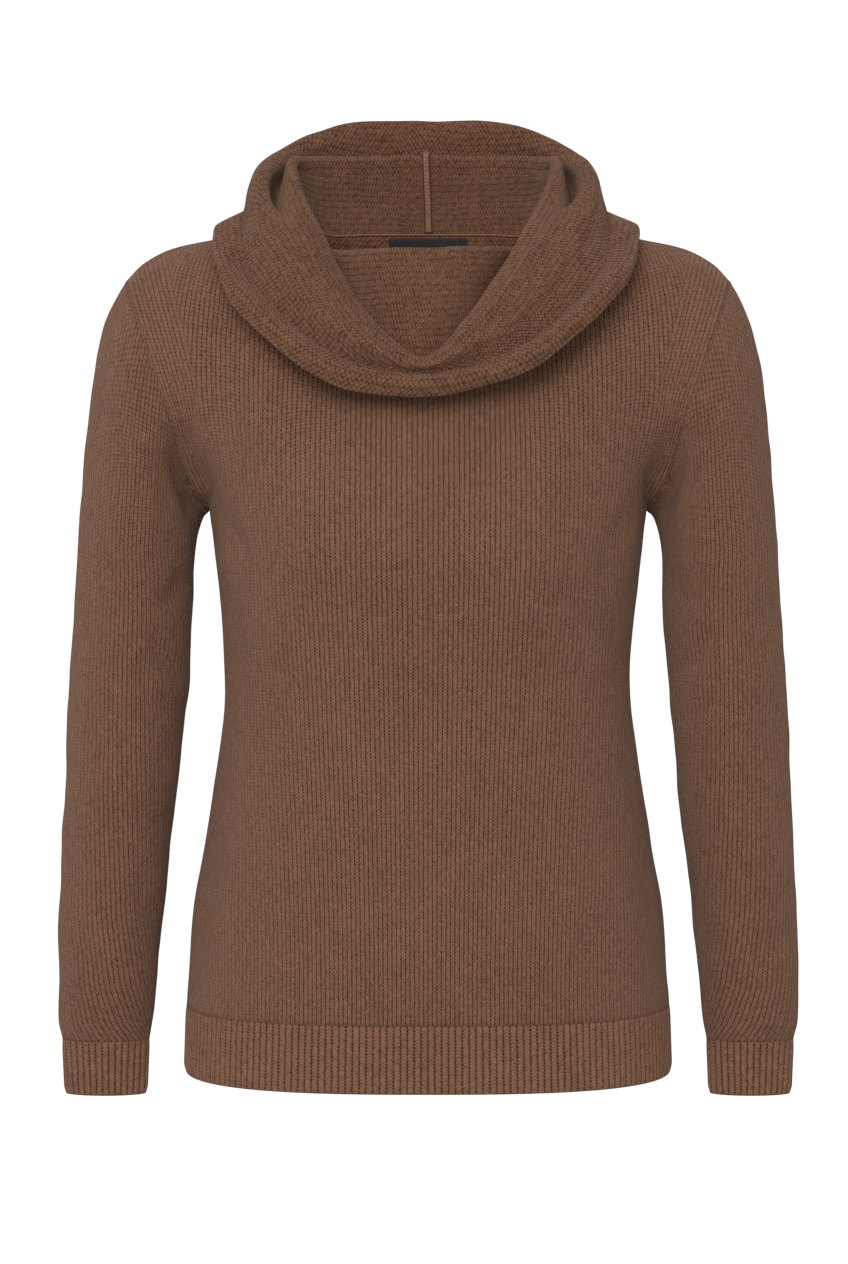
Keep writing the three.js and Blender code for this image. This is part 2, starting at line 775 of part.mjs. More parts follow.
sheets.cowl_collar.rows[0].forEach((_, column) => {
  const at = column / collarColumnsPerNeckColumn;
  const from = Math.floor(at);
  const to = Math.ceil(at) % neckNormals.length;
  normals.cowl_collar[0][column] = neckNormals[from].clone().lerp(neckNormals[to], at % 1).normalize();
  shifts.cowl_collar[0][column] = neckAcross[from].clone().lerp(neckAcross[to], at % 1);
});

// The ridge that joins the collar band, up the middle of its inner back and over the back fold
function collarSeamRidge() {
  const middle = (frontNeckColumns + backNeckColumns / 2) * collarColumnsPerNeckColumn;
  const collar = sheets.cowl_collar.rows;
  const firstRow = 1;
  const lastRow = collarRowPlaces.indexOf(9);
  const points = [];
  const half = collarSeamWidth / 2;
  const lift = seamGap + collarWall / 2;
  for (let i = firstRow; i <= lastRow; i += 1) {
    const centre = collar[i][middle];
    const inwards = normals.cowl_collar[i][middle].clone().negate();
    const [one, other] = [middle - 1, middle + 1].map((j) =>
      collar[i][j].clone().sub(centre).setLength(half).add(centre),
    );
    const outline = [
      [centre, 0],
      [one, 0],
      [one.clone().lerp(centre, 0.3), 0.75],
      [centre, 1],
      [other.clone().lerp(centre, 0.3), 0.75],
      [other, 0],
    ];
    for (const [foot, height] of outline) {
      points.push(foot.clone().addScaledVector(inwards, lift + height * collarSeamHeight));
    }
  }
  const rings = lastRow - firstRow + 1;
  const triangles = [];
  for (let i = 0; i + 1 < rings; i += 1) {
    for (let k = 0; k < 6; k += 1) {
      const a = i * 6 + k;
      const b = i * 6 + ((k + 1) % 6);
      triangles.push([b, a, b + 6], [b + 6, a, a + 6]);
    }
  }
  const end = (rings - 1) * 6;
  for (let k = 1; k < 5; k += 1) {
    triangles.push([0, k, k + 1]);
    triangles.push([end, end + k + 1, end + k]);
  }
  return meshFrom(points, triangles);
}

// A plain woven strip on the inside of the back panel, just under the neckline
function neckLabel() {
  const { rows } = sheets.back_panel;
  const top = rows.length - 1;
  const centreColumn = shoulderColumns + backNeckColumns / 2;
  const columnWidth = rows[top][centreColumn].distanceTo(rows[top][centreColumn + 1]);
  const reach = labelWidth / 2 / columnWidth;
  const places = [-reach];
  for (let k = -Math.floor(reach); k <= Math.floor(reach); k += 1) places.push(k);
  places.push(reach);
  const label = { rows: [], closed: false, facing: 1 };
  const faces = [];
  for (const drop of [labelDrop + labelDepth, labelDrop + labelDepth / 2, labelDrop]) {
    const row = [];
    const face = [];
    for (const place of places) {
      const at = centreColumn + place;
      const j = Math.floor(at);
      const rowHeight = rows[top][centreColumn].distanceTo(rows[top - 1][centreColumn]);
      const i = top - 1 - Math.floor(drop / rowHeight);
      const up = 1 - (drop / rowHeight) % 1;
      const read = (grid) => {
        const low = grid[i][j].clone().lerp(grid[i][j + 1], at - j);
        return low.lerp(grid[i + 1][j].clone().lerp(grid[i + 1][j + 1], at - j), up);
      };
      const normal = read(normals.back_panel).normalize();
      face.push(normal);
      row.push(read(rows).addScaledVector(normal, -(bodyWall / 2 + labelLift + labelThickness / 2)));
    }
    label.rows.push(row);
    faces.push(face);
  }
  return clothWall(label, faces, noShifts(label.rows), labelThickness);
}

// Rib bands at the hem and the cuffs
function hemBand(isFront) {
  const levels = [hemSeamHeight - seamGap / 2, hemHeight];
  const [top, bottom] = levels.map((z) => {
    const line = halfSection(readTable(bodySections, "z", z), isFront, 400);
    for (const end of [line[0], line.at(-1)]) end.y += isFront ? -seamGap / 2 : seamGap / 2;
    return line;
  });
  let length = 0;
  for (let k = 1; k < top.length; k += 1) length += top[k].distanceTo(top[k - 1]);
  const outward = (from, to) => new THREE.Vector3(to.y - from.y, from.x - to.x, 0).normalize();
  return ribBand(top, bottom, outward, Math.round(length / hemRibPitch), false, 1);
}

function cuffBand(side) {
  const topSection = { ...sleeveSections.at(-1) };
  topSection.outerZ -= seamGap / 2;
  topSection.innerZ -= seamGap / 2;
  const [top, bottom] = [topSection, cuffEnd].map((section) => {
    const line = [];
    for (let k = 0; k <= 200; k += 1) line.push(sleevePoint(section, (2 * Math.PI * k) / 200, side));
    return evenly(line, 200);
  });
  let length = 0;
  for (let k = 1; k < bottom.length; k += 1) length += bottom[k].distanceTo(bottom[k - 1]);
  const outward = (from, to) =>
    new THREE.Vector3(side * (from.y - to.y), side * (to.x - from.x), 0).normalize();
  return ribBand(top, bottom, outward, Math.round(length / cuffRibPitch), true, -side);
}

// The finished garment
const knit = { color: 0x6e5040, roughness: 0.92 };
const rib = { color: 0x684a3a, roughness: 0.92 };
const woven = { color: 0x2b2928, roughness: 0.75 };
const group = new THREE.Group();
group.name = "cowl_neck_sweater";

function addPiece(name, geometry, finish) {
  const mesh = new THREE.Mesh(geometry, new THREE.MeshStandardMaterial(finish));
  mesh.name = name;
  group.add(mesh);
}

for (const [name, sheet] of Object.entries(sheets)) {
  const thickness = name === "cowl_collar" ? collarWall : bodyWall;
  addPiece(name, clothWall(sheet, normals[name], shifts[name], thickness), knit);
}
addPiece("front_hem_rib", hemBand(true), rib);
addPiece("back_hem_rib", hemBand(false), rib);
addPiece("right_cuff", cuffBand(-1), rib);
addPiece("left_cuff", cuffBand(1), rib);
addPiece("collar_seam", collarSeamRidge(), knit);
addPiece("neck_label", neckLabel(), woven);

export default group;
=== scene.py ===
"""A brown cowl-neck pullover in fine knit, filled out as if worn, with nobody in it.

The cloth is laid out in millimetres, +Z up and the front towards -Y, and made in metres.
"""

import math

import bpy
import numpy as np
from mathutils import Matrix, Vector, noise


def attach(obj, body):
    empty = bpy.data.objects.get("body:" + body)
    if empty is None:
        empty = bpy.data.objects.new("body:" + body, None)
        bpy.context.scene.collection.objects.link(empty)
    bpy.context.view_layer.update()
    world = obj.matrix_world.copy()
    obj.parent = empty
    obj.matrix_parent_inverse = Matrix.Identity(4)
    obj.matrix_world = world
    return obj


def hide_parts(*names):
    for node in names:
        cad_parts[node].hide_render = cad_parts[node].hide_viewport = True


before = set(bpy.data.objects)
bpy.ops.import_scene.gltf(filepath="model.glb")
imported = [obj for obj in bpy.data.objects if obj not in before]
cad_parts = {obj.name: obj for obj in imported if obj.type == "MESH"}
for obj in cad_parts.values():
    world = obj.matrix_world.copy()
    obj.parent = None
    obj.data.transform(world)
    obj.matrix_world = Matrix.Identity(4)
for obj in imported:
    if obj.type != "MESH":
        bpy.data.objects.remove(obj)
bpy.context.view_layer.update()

# Cloth and seams, in millimetres
BODY_WALL = 2.4
COLLAR_WALL = 2.6
SEAM_GAP = 0.1
RIB_FURROW_WALL = 2.0
RIB_RAISE = 1.0
HEM_RIB_PITCH = 4.67
CUFF_RIB_PITCH = 4.2

# Stitches, in millimetres
CHEST_WALE = 3.57
HEM_WALE = 3.05
SLEEVE_WALE = 3.3
BODY_COURSE = 2.3
COLLAR_WALES = 256
COLLAR_COURSE = 2.3
ARMHOLE_BAND = 34

UNDERARM_HEIGHT = -219
HEM_SEAM_HEIGHT = -571.5
HEM_HEIGHT = -618
SHOULDER_COLUMNS = 6
FRONT_NECK_COLUMNS = 14
BACK_NECK_COLUMNS = 10
FRONT_STATIONS = 8
BACK_STATIONS = 6

# Body sections from the underarm down: height, half width, depth in front and behind, squareness
BODY_COLUMNS = ("z", "half", "front", "back", "square")
BODY_SECTIONS = [
    (-219, 157.3, 116, 91, 2.3),
    (-248, 152.6, 117, 88, 2.3),
    (-291, 147.5, 107, 81, 2.3),
    (-345, 144, 97, 76, 2.3),
    (-399, 150, 99, 84, 2.35),
    (-453, 158.4, 105, 97, 2.45),
    (-507, 167, 110, 106, 2.6),
    (-565, 171.2, 113, 110, 2.7),
    (-618, 173.2, 115, 112, 2.7),
]

# The shoulder seam from the neck out to the armhole
SHOULDER_COLUMNS_READ = ("x", "y", "z")
SHOULDER_SEAM = [
    (86, 0, -7),
    (112, 1, -14.5),
    (150, 2, -24.3),
    (185, 2, -32.2),
    (205, 1, -43),
    (216.5, 0, -55),
]

# Sleeve sections from the armhole down: outer end, inner end, depth ahead and behind, middle
SLEEVE_SECTIONS = [
    (216.5, -55, 157.3, -219, 57, 60, 0),
    (231, -86, 162.5, -223, 59, 61, 0),
    (239, -125, 166.2, -233, 57, 58, 0),
    (244.8, -172, 168.2, -247, 54, 55, -1),
    (248.3, -222, 169.2, -265, 52, 52, -2),
    (251.8, -275, 170.2, -292, 50, 50, -3),
    (255.3, -330, 172.7, -335, 48, 48, -5),
    (257.8, -390, 177.7, -390, 45, 45, -8),
    (260.3, -448, 183.7, -448, 41, 40, -11),
    (262.3, -506, 190.2, -506, 36, 35, -14),
    (263.3, -556, 195.7, -556, 28, 27, -17),
    (262.3, -582, 197.7, -582, 21, 20, -18),
    (259.8, -596, 200, -596, 15, 15, -18),
]
CUFF_END = (258, -635, 201.4, -635, 12, 12, -19)

# Collar folds from the neckline to the free edge, each read at fourteen places round the neck,
# from the right side over the chest to the left side and back round behind
COLLAR_FOLDS = {
    "neckline": [
        (-86, 0, -7), (-71, -36, -41), (-37, -61, -66), (-19, -66.5, -72), (0, -68, -75),
        (19, -66.5, -72), (37, -61, -66), (71, -36, -41), (86, 0, -7), (76, 27, -18.5), (42, 42, -17.8),
        (0, 47, -17.3), (-42, 42, -17.8), (-76, 27, -18.5),
    ],
    "front stand fold": [
        (-94, -1, 8), (-75, -39, -34), (-42, -68, -37.5), (-21, -74.5, -37.5), (-1, -76, -37.5),
        (20, -74.5, -37), (41, -68, -36), (73, -38, -31), (91, -1, 8), (80, 32, 6), (44, 51, 6),
        (0, 57, 5), (-44, 51, 6), (-81, 32, 6),
    ],
    "valley behind the V": [
        (-97, -3, 20), (-77, -43, -27), (-46, -82, -84), (-25, -97, -111), (-2, -101.5, -121.5),
        (22, -97, -102), (41, -79, -74), (74, -42, -23), (92, -3, 20), (82, 34, 25), (47, 56, 27),
        (0, 62, 28), (-47, 56, 27), (-84, 34, 25),
    ],
    "V edge and back fold": [
        (-97, -5, 31), (-80, -46, -14), (-52, -90, -69), (-28, -105, -101), (-3, -110, -115.5),
        (25, -105, -91), (47, -86, -58.5), (76, -45, -8), (91, -5, 31), (83, 36, 38),
        (50, 58, 41), (0, 64, 42), (-50, 58, 41), (-86, 36, 38),
    ],
    "valley outside the V": [
        (-110, -5, 4), (-92, -54, -20), (-60, -97, -74), (-31, -111.5, -104), (-3, -116, -116.5),
        (29, -111, -94), (55, -94, -64), (88, -53, -14), (103, -5, 6), (95, 40, 21),
        (57, 65, 21), (0, 74, 22), (-57, 65, 21), (-97, 40, 21),
    ],
    "outer band": [
        (-122, -5, 22), (-108, -63, -38), (-66, -105, -92), (-33, -116.5, -112), (-2, -118.5, -120),
        (32, -116, -105), (63, -103, -84), (104, -62, -33), (117.5, -5, 22), (99, 44, 47),
        (60, 68, 66), (-1, 80, 70), (-63, 68, 66), (-102, 44, 47),
    ],
    "crease above the roll": [
        (-132, -8, -7), (-120, -68, -62), (-65, -105, -112), (-31, -112.5, -122.5), (0, -114.5, -125),
        (31, -112, -119), (66, -105, -105.5), (118, -68, -56), (128, -8, -7), (115, 50, -2),
        (72, 80, 8), (0, 95, 12), (-74, 80, 8), (-119, 50, -2),
    ],
    "roll": [
        (-152, -10, -16.5), (-137, -79, -62), (-72, -117, -119), (-33, -121.5, -131), (0, -123.5, -133),
        (34, -121, -127.5), (73, -117, -112), (136.5, -79, -52), (148.5, -10, -15.5), (132, 54, -20),
        (82, 88, -16), (0, 102, -14), (-82, 88, -16), (-135, 54, -21),
    ],
    "bottom of the roll": [
        (-149.5, -10, -20.2), (-136, -80, -74), (-70, -114.5, -130), (-32, -117.5, -139),
        (0, -119, -140.5), (32, -117, -135), (71, -114, -121), (136, -79.5, -62), (146.5, -10, -19),
        (128, 55, -33), (80, 86, -40), (0, 98, -42), (-80, 86, -40), (-131, 55, -35),
    ],
    "tucked free edge": [
        (-134, -9, -16), (-119, -74, -70), (-59, -101, -126), (-29, -103, -136), (0, -104, -137.5),
        (29, -102.5, -132), (60, -100, -118), (119, -73, -60), (130, -9, -14.5), (112, 49, -29),
        (70, 73, -38), (0, 82, -42), (-70, 73, -38), (-115, 49, -31),
    ],
}

# How far the cloth spreads either side of each fold between the neckline and the free edge
FOLD_SPREADS = (2.8, 3, 2.8, 3, 6, 3, 6.5, 4)

# Creases of the body and the sleeves as they are seen from the front or the back: both ends, how far
# the middle bows to the right of the line, the width and the depth. A negative depth is a ridge.
CREASE_COLUMNS = ("side", "x0", "z0", "x1", "z1", "bow", "width", "depth")
CREASES = [
    ("front", -182, -158, -157, -222, 2, 12, 8),
    ("front", -180, -176, -156, -244, 0, 8, 8),
    ("front", 182, -158, 157, -222, -2, 12, 8),
    ("front", 179, -178, 156, -244, 0, 8, 7.5),
    ("front", -196, -176, -182, -230, 3, 8, 4),
    ("front", 197, -178, 183, -228, -3, 8, 3.5),
    ("front", -152, -214, -124, -268, 4, 9, 3.6),
    ("front", 150, -212, 120, -272, -5, 10, 3.2),
    ("front", -140, -262, -128, -372, 3, 11, 1.8),
    ("front", 143, -268, 130, -350, -4, 10, 1.6),
    ("front", -150, -430, -164, -548, 4, 9, 2.2),
    ("front", 154, -446, 162, -545, -4, 10, 1.7),
    ("front", -118, -470, -126, -556, 3, 13, 1.2),
    ("front", 112, -490, 118, -560, -2, 14, 1.0),
    ("front", -96, -236, -58, -262, -4, 16, -1.4),
    ("front", 60, -262, 98, -238, -4, 16, -1.3),
    ("back", -180, -158, -154, -222, 3, 9, 9),
    ("back", 180, -160, 155, -220, -3, 9, 9),
    ("back", -120, -300, -40, -330, 6, 12, 2.2),
    ("back", 116, -312, 30, -336, -5, 12, 2.0),
    ("back", -132, -352, -62, -366, -5, 10, 1.7),
    ("back", 140, -350, 84, -372, 5, 11, 1.6),
    ("back", -148, -420, -160, -540, 4, 10, 1.9),
    ("back", 150, -440, 160, -545, -4, 10, 1.6),
    ("back", -90, -120, -74, -210, 3, 15, 1.3),
    ("back", 94, -126, 80, -204, -3, 15, 1.2),
    ("front", -172, -262, -192, -292, 2, 7, 3.2),
    ("front", -196, -304, -173, -342, -3, 6, 3.6),
    ("front", -208, -326, -176, -368, -5, 9, 2.2),
    ("front", -222, -172, -204, -232, 4, 12, 1.4),
    ("front", -236, -360, -212, -398, -4, 11, 1.5),
    ("front", -206, -470, -196, -540, 2, 8, 1.4),
    ("front", -246, -520, -226, -568, 3, 8, 1.5),
    ("front", 174, -258, 196, -296, -3, 8, 2.8),
    ("front", 203, -300, 175, -338, 3, 7, 3.2),
    ("front", 214, -334, 178, -372, 4, 9, 2.4),
    ("front", 226, -180, 205, -240, -4, 12, 1.3),
    ("front", 238, -352, 216, -404, 5, 10, 1.4),
    ("front", 204, -474, 197, -536, -2, 8, 1.3),
    ("front", 246, -514, 228, -566, -3, 9, 1.4),
    ("back", -210, -300, -176, -330, -4, 9, 2.4),
    ("back", -226, -336, -182, -372, 5, 10, 2.0),
    ("back", -240, -500, -214, -548, 3, 9, 1.5),
    ("back", 212, -296, 177, -334, 4, 9, 2.2),
    ("back", 230, -344, 184, -366, -4, 10, 1.9),
    ("back", 244, -506, 216, -552, -3, 9, 1.4),
]

# How far the surface wanders, in millimetres, and over what distance
SLACK = {"body": (1.5, 58), "sleeve": (1.4, 46), "collar": (1.3, 40)}


# Lines and tables


def read(columns, rows, key, values):
    """Every column of a table at the given values of its key column, on a smooth curve."""
    table = np.array(rows, float)
    keys = table[:, columns.index(key)]
    values = np.atleast_1d(np.asarray(values, float))
    turn = 1 if keys[1] > keys[0] else -1
    at = np.clip(np.searchsorted(turn * keys, turn * values) - 1, 0, len(keys) - 2)
    before = np.maximum(at - 1, 0)
    after = np.minimum(at + 2, len(keys) - 1)
    span = (keys[at + 1] - keys[at])[:, None]
    t = (values[:, None] - keys[at][:, None]) / span
    slope_from = (table[at + 1] - table[before]) / (keys[at + 1] - keys[before])[:, None] * span
    slope_to = (table[after] - table[at]) / (keys[after] - keys[at])[:, None] * span
    found = (
        table[at] * (2 * t**3 - 3 * t**2 + 1)
        + slope_from * (t**3 - 2 * t**2 + t)
        + table[at + 1] * (3 * t**2 - 2 * t**3)
        + slope_to * (t**3 - t**2)
    )
    return {name: found[:, k] for k, name in enumerate(columns)}


def through(points, places, closed=False):
    """A smooth line through the points, read at places that are counted in points."""
    points = np.asarray(points, float)
    places = np.asarray(places, float)
    if closed:
        places = places % len(points)
        padded = np.concatenate([points[-1:], points, points[:2]])
        start = np.floor(places).astype(int)
    else:
        first = 2 * points[:1] - points[1:2]
        last = 2 * points[-1:] - points[-2:-1]
        padded = np.concatenate([first, points, last])
        start = np.minimum(np.floor(places).astype(int), len(points) - 2)
    t = (places - start).reshape((-1,) + (1,) * (points.ndim - 1))
    before, here, there, after = (padded[start + k] for k in range(4))

    def gap(a, b):
        return np.sqrt(np.linalg.norm(b - a, axis=-1, keepdims=True)) + 1e-6

    g0, g1, g2 = gap(before, here), gap(here, there), gap(there, after)
    leaving = ((here - before) / g0 - (there - before) / (g0 + g1) + (there - here) / g1) * g1
    arriving = ((there - here) / g1 - (after - here) / (g1 + g2) + (after - there) / g2) * g1
    step = there - here
    return (
        here
        + leaving * t
        + (3 * step - 2 * leaving - arriving) * t**2
        + (leaving + arriving - 2 * step) * t**3
    )


def measured(line):
    """How far along a line each of its points lies."""
    steps = np.linalg.norm(np.diff(line, axis=0), axis=-1)
    return np.concatenate([[0], np.cumsum(steps)])


def evenly(line, pieces):
    """The same line divided into equal lengths of cloth."""
    reached = measured(line)
    wanted = np.linspace(0, reached[-1], pieces + 1)
    return np.stack([np.interp(wanted, reached, line[:, k]) for k in range(3)], axis=1)


def smoothstep(low, high, value):
    t = np.clip((value - low) / (high - low), 0, 1)
    return t * t * (3 - 2 * t)


# The form of each piece, as rows of points


def half_section(z, is_front, columns):
    """Half of the body at one height: the front runs from the right side seam to the left."""
    section = read(BODY_COLUMNS, BODY_SECTIONS, "z", z)
    depth = -section["front"] if is_front else section["back"]
    turn = np.linspace(0, math.pi, 721)
    power = 2 / section["square"]
    across = np.sign(np.cos(turn)) * np.abs(np.cos(turn)) ** power
    out = np.clip(np.sin(turn), 0, 1) ** power
    x = (-1 if is_front else 1) * section["half"] * across
    return evenly(np.stack([x, depth * out, np.full_like(x, z)], axis=1), columns)


def sleeve_points(section, turns, side):
    """Points of a sleeve section. Turn 0 is the outer end and a quarter turn the front."""
    outer_x, outer_z, inner_x, inner_z, ahead, behind, middle = section
    share = (1 + np.cos(turns)) / 2
    forward = np.sin(turns)
    x = inner_x + (outer_x - inner_x) * share
    z = inner_z + (outer_z - inner_z) * share
    depth = np.where(forward > 0, ahead, behind)
    return np.stack([side * x, middle - depth * forward, z], axis=1)


def shoulder_line(side, columns):
    """The shoulder seam on one side, from the armhole in to the neck."""
    keys = np.linspace(SHOULDER_SEAM[-1][0], SHOULDER_SEAM[0][0], 121)
    found = read(SHOULDER_COLUMNS_READ, SHOULDER_SEAM, "x", keys)
    return evenly(np.stack([side * found["x"], found["y"], found["z"]], axis=1), columns)


def neck_line(is_front, columns):
    """The neckline: the front from the right to the left, the back from the left to the right."""
    stations = FRONT_STATIONS if is_front else BACK_STATIONS
    start = 0 if is_front else FRONT_STATIONS
    places = start + np.linspace(0, stations, columns + 1)
    return through(COLLAR_FOLDS["neckline"], places, closed=True)


def body_rows(is_front, fine):
    """A panel of the body, from the hem seam up to the shoulders and the neckline."""
    neck_columns = FRONT_NECK_COLUMNS if is_front else BACK_NECK_COLUMNS
    columns = (2 * SHOULDER_COLUMNS + neck_columns) * fine
    heights = np.linspace(HEM_SEAM_HEIGHT, UNDERARM_HEIGHT, 91)
    rows = [half_section(z, is_front, columns) for z in heights]
    near = -1 if is_front else 1
    top = np.concatenate(
        [
            shoulder_line(near, SHOULDER_COLUMNS * fine)[:-1],
            neck_line(is_front, neck_columns * fine),
            shoulder_line(-near, SHOULDER_COLUMNS * fine)[::-1][1:],
        ]
    )
    yoke = 64
    turns = math.pi * (1 - np.linspace(0, 1, yoke + 1))
    edges = [sleeve_points(SLEEVE_SECTIONS[0], turns if is_front else -turns, s) for s in (near, -near)]
    bottom = rows.pop()
    steps = np.arange(columns + 1) / fine
    last = columns / fine
    in_neck = np.clip((np.minimum(steps, last - steps) - SHOULDER_COLUMNS + 1) / 4, 0, 1)
    roundness = (1 - 0.75 * in_neck)[None, :]
    rise = np.linspace(0, 1, yoke + 1)[:, None]
    weights = np.stack(
        [
            rise + 0 * roundness,
            rise + roundness * (1 - np.cos(rise * math.pi / 2) - rise),
            rise + roundness * (np.sin(rise * math.pi / 2) - rise),
        ],
        axis=2,
    )
    grid = bottom[None] + (top - bottom)[None] * weights
    for edge, away in ((edges[0], steps), (edges[1], last - steps)):
        hold = np.maximum(1 - away / (last * 0.34), 0)[None, :, None] ** 2
        straight = edge[0] + (edge[-1] - edge[0]) * weights
        grid = grid + hold * (edge[:, None] - straight)
    panel = np.concatenate([np.array(rows), grid])
    return eased(panel, first=80, passes=60)


def eased(rows, first, passes):
    """Smooths the inside of a panel from a given row up, and leaves its edges where they are."""
    free = np.zeros(rows.shape[:2])
    free[first:-1, 1:-1] = 1
    free[first : first + 10] *= np.linspace(0, 1, 10)[:, None]
    for _ in range(passes):
        around = rows.copy()
        around[1:-1, 1:-1] = (
            rows[:-2, 1:-1] + rows[2:, 1:-1] + rows[1:-1, :-2] + rows[1:-1, 2:]
        ) / 4
        rows = rows + (0.8 * free)[..., None] * (around - rows)
    return rows


def sleeve_rows(side):
    """A sleeve from the armhole to the cuff seam. Its rings start and end at the underarm seam."""
    places = np.linspace(0, len(SLEEVE_SECTIONS) - 1, 181)
    sections = through(SLEEVE_SECTIONS, places)
    turns = math.pi + side * np.linspace(0, 2 * math.pi, 129)[:-1]
    rings = np.array([sleeve_points(section, turns, side) for section in sections])
    length = np.linalg.norm(np.diff(rings, axis=0), axis=2).mean(axis=1)
    reached = np.concatenate([[0], np.cumsum(length)])
    wanted = np.interp(np.linspace(0, reached[-1], 171), reached, places)
    sections = through(SLEEVE_SECTIONS, wanted)
    return np.array([sleeve_points(section, turns, side) for section in sections])


def collar_rows(columns=250, rows=172):
    """The collar: from the neckline through every fold to the free edge, right round the neck."""
    dense = np.linspace(0, FRONT_STATIONS + BACK_STATIONS, 701)[:-1]
    loops = [through(points, dense, closed=True) for points in COLLAR_FOLDS.values()]
    spans = [np.linalg.norm(np.roll(loop, -1, axis=0) - loop, axis=1) for loop in loops]
    reached = np.concatenate([[0], np.cumsum(np.mean(spans, axis=0))])
    wanted = np.linspace(0, reached[-1], columns + 1)[:-1]
    stations = np.interp(wanted, reached, np.append(dense, FRONT_STATIONS + BACK_STATIONS))
    keys = [through(points, stations, closed=True) for points in COLLAR_FOLDS.values()]
    line = [keys[0]]
    for widest, back_key, key, next_key in zip(FOLD_SPREADS, keys, keys[1:], keys[2:]):
        back, ahead = back_key - key, next_key - key
        back_length = np.linalg.norm(back, axis=1, keepdims=True)
        ahead_length = np.linalg.norm(ahead, axis=1, keepdims=True)
        spread = np.minimum(widest, 0.4 * np.minimum(back_length, ahead_length))
        back, ahead = back / back_length, ahead / ahead_length
        inwards = (back + ahead) * spread / 2
        onwards = ahead - back
        onwards *= spread / np.linalg.norm(onwards, axis=1, keepdims=True)
        line += [key + inwards - onwards, key, key + inwards + onwards]
    line.append(keys[-1])
    places = np.linspace(0, len(line) - 1, 1001)
    cloth = through(np.array(line), places)
    steps = np.diff(cloth, axis=0)
    length = np.linalg.norm(steps, axis=2)
    ways = steps / length[..., None]
    bend = np.arccos(np.clip((ways[1:] * ways[:-1]).sum(axis=2), -1, 1)).mean(axis=1)
    effort = length.mean(axis=1) + 5 * np.append(bend, 0)
    reached = np.concatenate([[0], np.cumsum(effort)])
    wanted = np.interp(np.linspace(0, reached[-1], rows), reached, places)
    folds = [int(np.searchsorted(wanted, 3 * k - 1)) for k in range(len(keys) - 1)]
    return through(np.array(line), wanted), stations, folds


# Cloth made from the rows


def unit(vectors):
    return vectors / (np.linalg.norm(vectors, axis=-1, keepdims=True) + 1e-12)


def normals_of(rows, closed):
    """Normals of a sheet whose columns turn left to right and rows bottom to top, seen from outside."""
    if closed:
        across = np.roll(rows, -1, axis=1) - np.roll(rows, 1, axis=1)
    else:
        across = np.gradient(rows, axis=1)
    return unit(np.cross(across, np.gradient(rows, axis=0)))


def wandering(rows, amount, distance, seed):
    """A gentle unevenness, the same each time."""
    places = rows.reshape(-1, 3) / distance + seed * 7.3
    values = [noise.noise(Vector(place)) + 0.4 * noise.noise(Vector(place * 2.3)) for place in places]
    return amount * np.array(values).reshape(rows.shape[:2])


def creased(rows, normals, creases):
    """How far the creases press each point of a sheet in."""
    depth_at = np.zeros(rows.shape[:2])
    x, z = rows[..., 0], rows[..., 2]
    for side, x0, z0, x1, z1, bow, width, depth in creases:
        along = np.array([x1 - x0, z1 - z0], float)
        length = np.linalg.norm(along)
        along /= length
        t = ((x - x0) * along[0] + (z - z0) * along[1]) / length
        off = -(x - x0) * along[1] + (z - z0) * along[0]
        off = off - bow * (1 - (2 * t - 1) ** 2)
        ends = smoothstep(-0.12, 0.3, t) * (1 - smoothstep(0.6, 1.12, t))
        facing = normals[..., 1] * (-1 if side == "front" else 1)
        depth_at += depth * np.exp(-((off / width) ** 2)) * ends * smoothstep(-0.1, 0.45, facing)
    return depth_at


def held_edges(rows, closed, reach=5):
    """1 inside a sheet and 0 at its edges, so that neighbours still meet."""
    count = np.arange(rows.shape[0])
    hold = np.clip(np.minimum(count, count[::-1]) / reach, 0, 1)[:, None] * np.ones(rows.shape[1])
    if not closed:
        count = np.arange(rows.shape[1])
        hold = hold * np.clip(np.minimum(count, count[::-1]) / reach, 0, 1)[None]
    return hold * hold * (3 - 2 * hold)


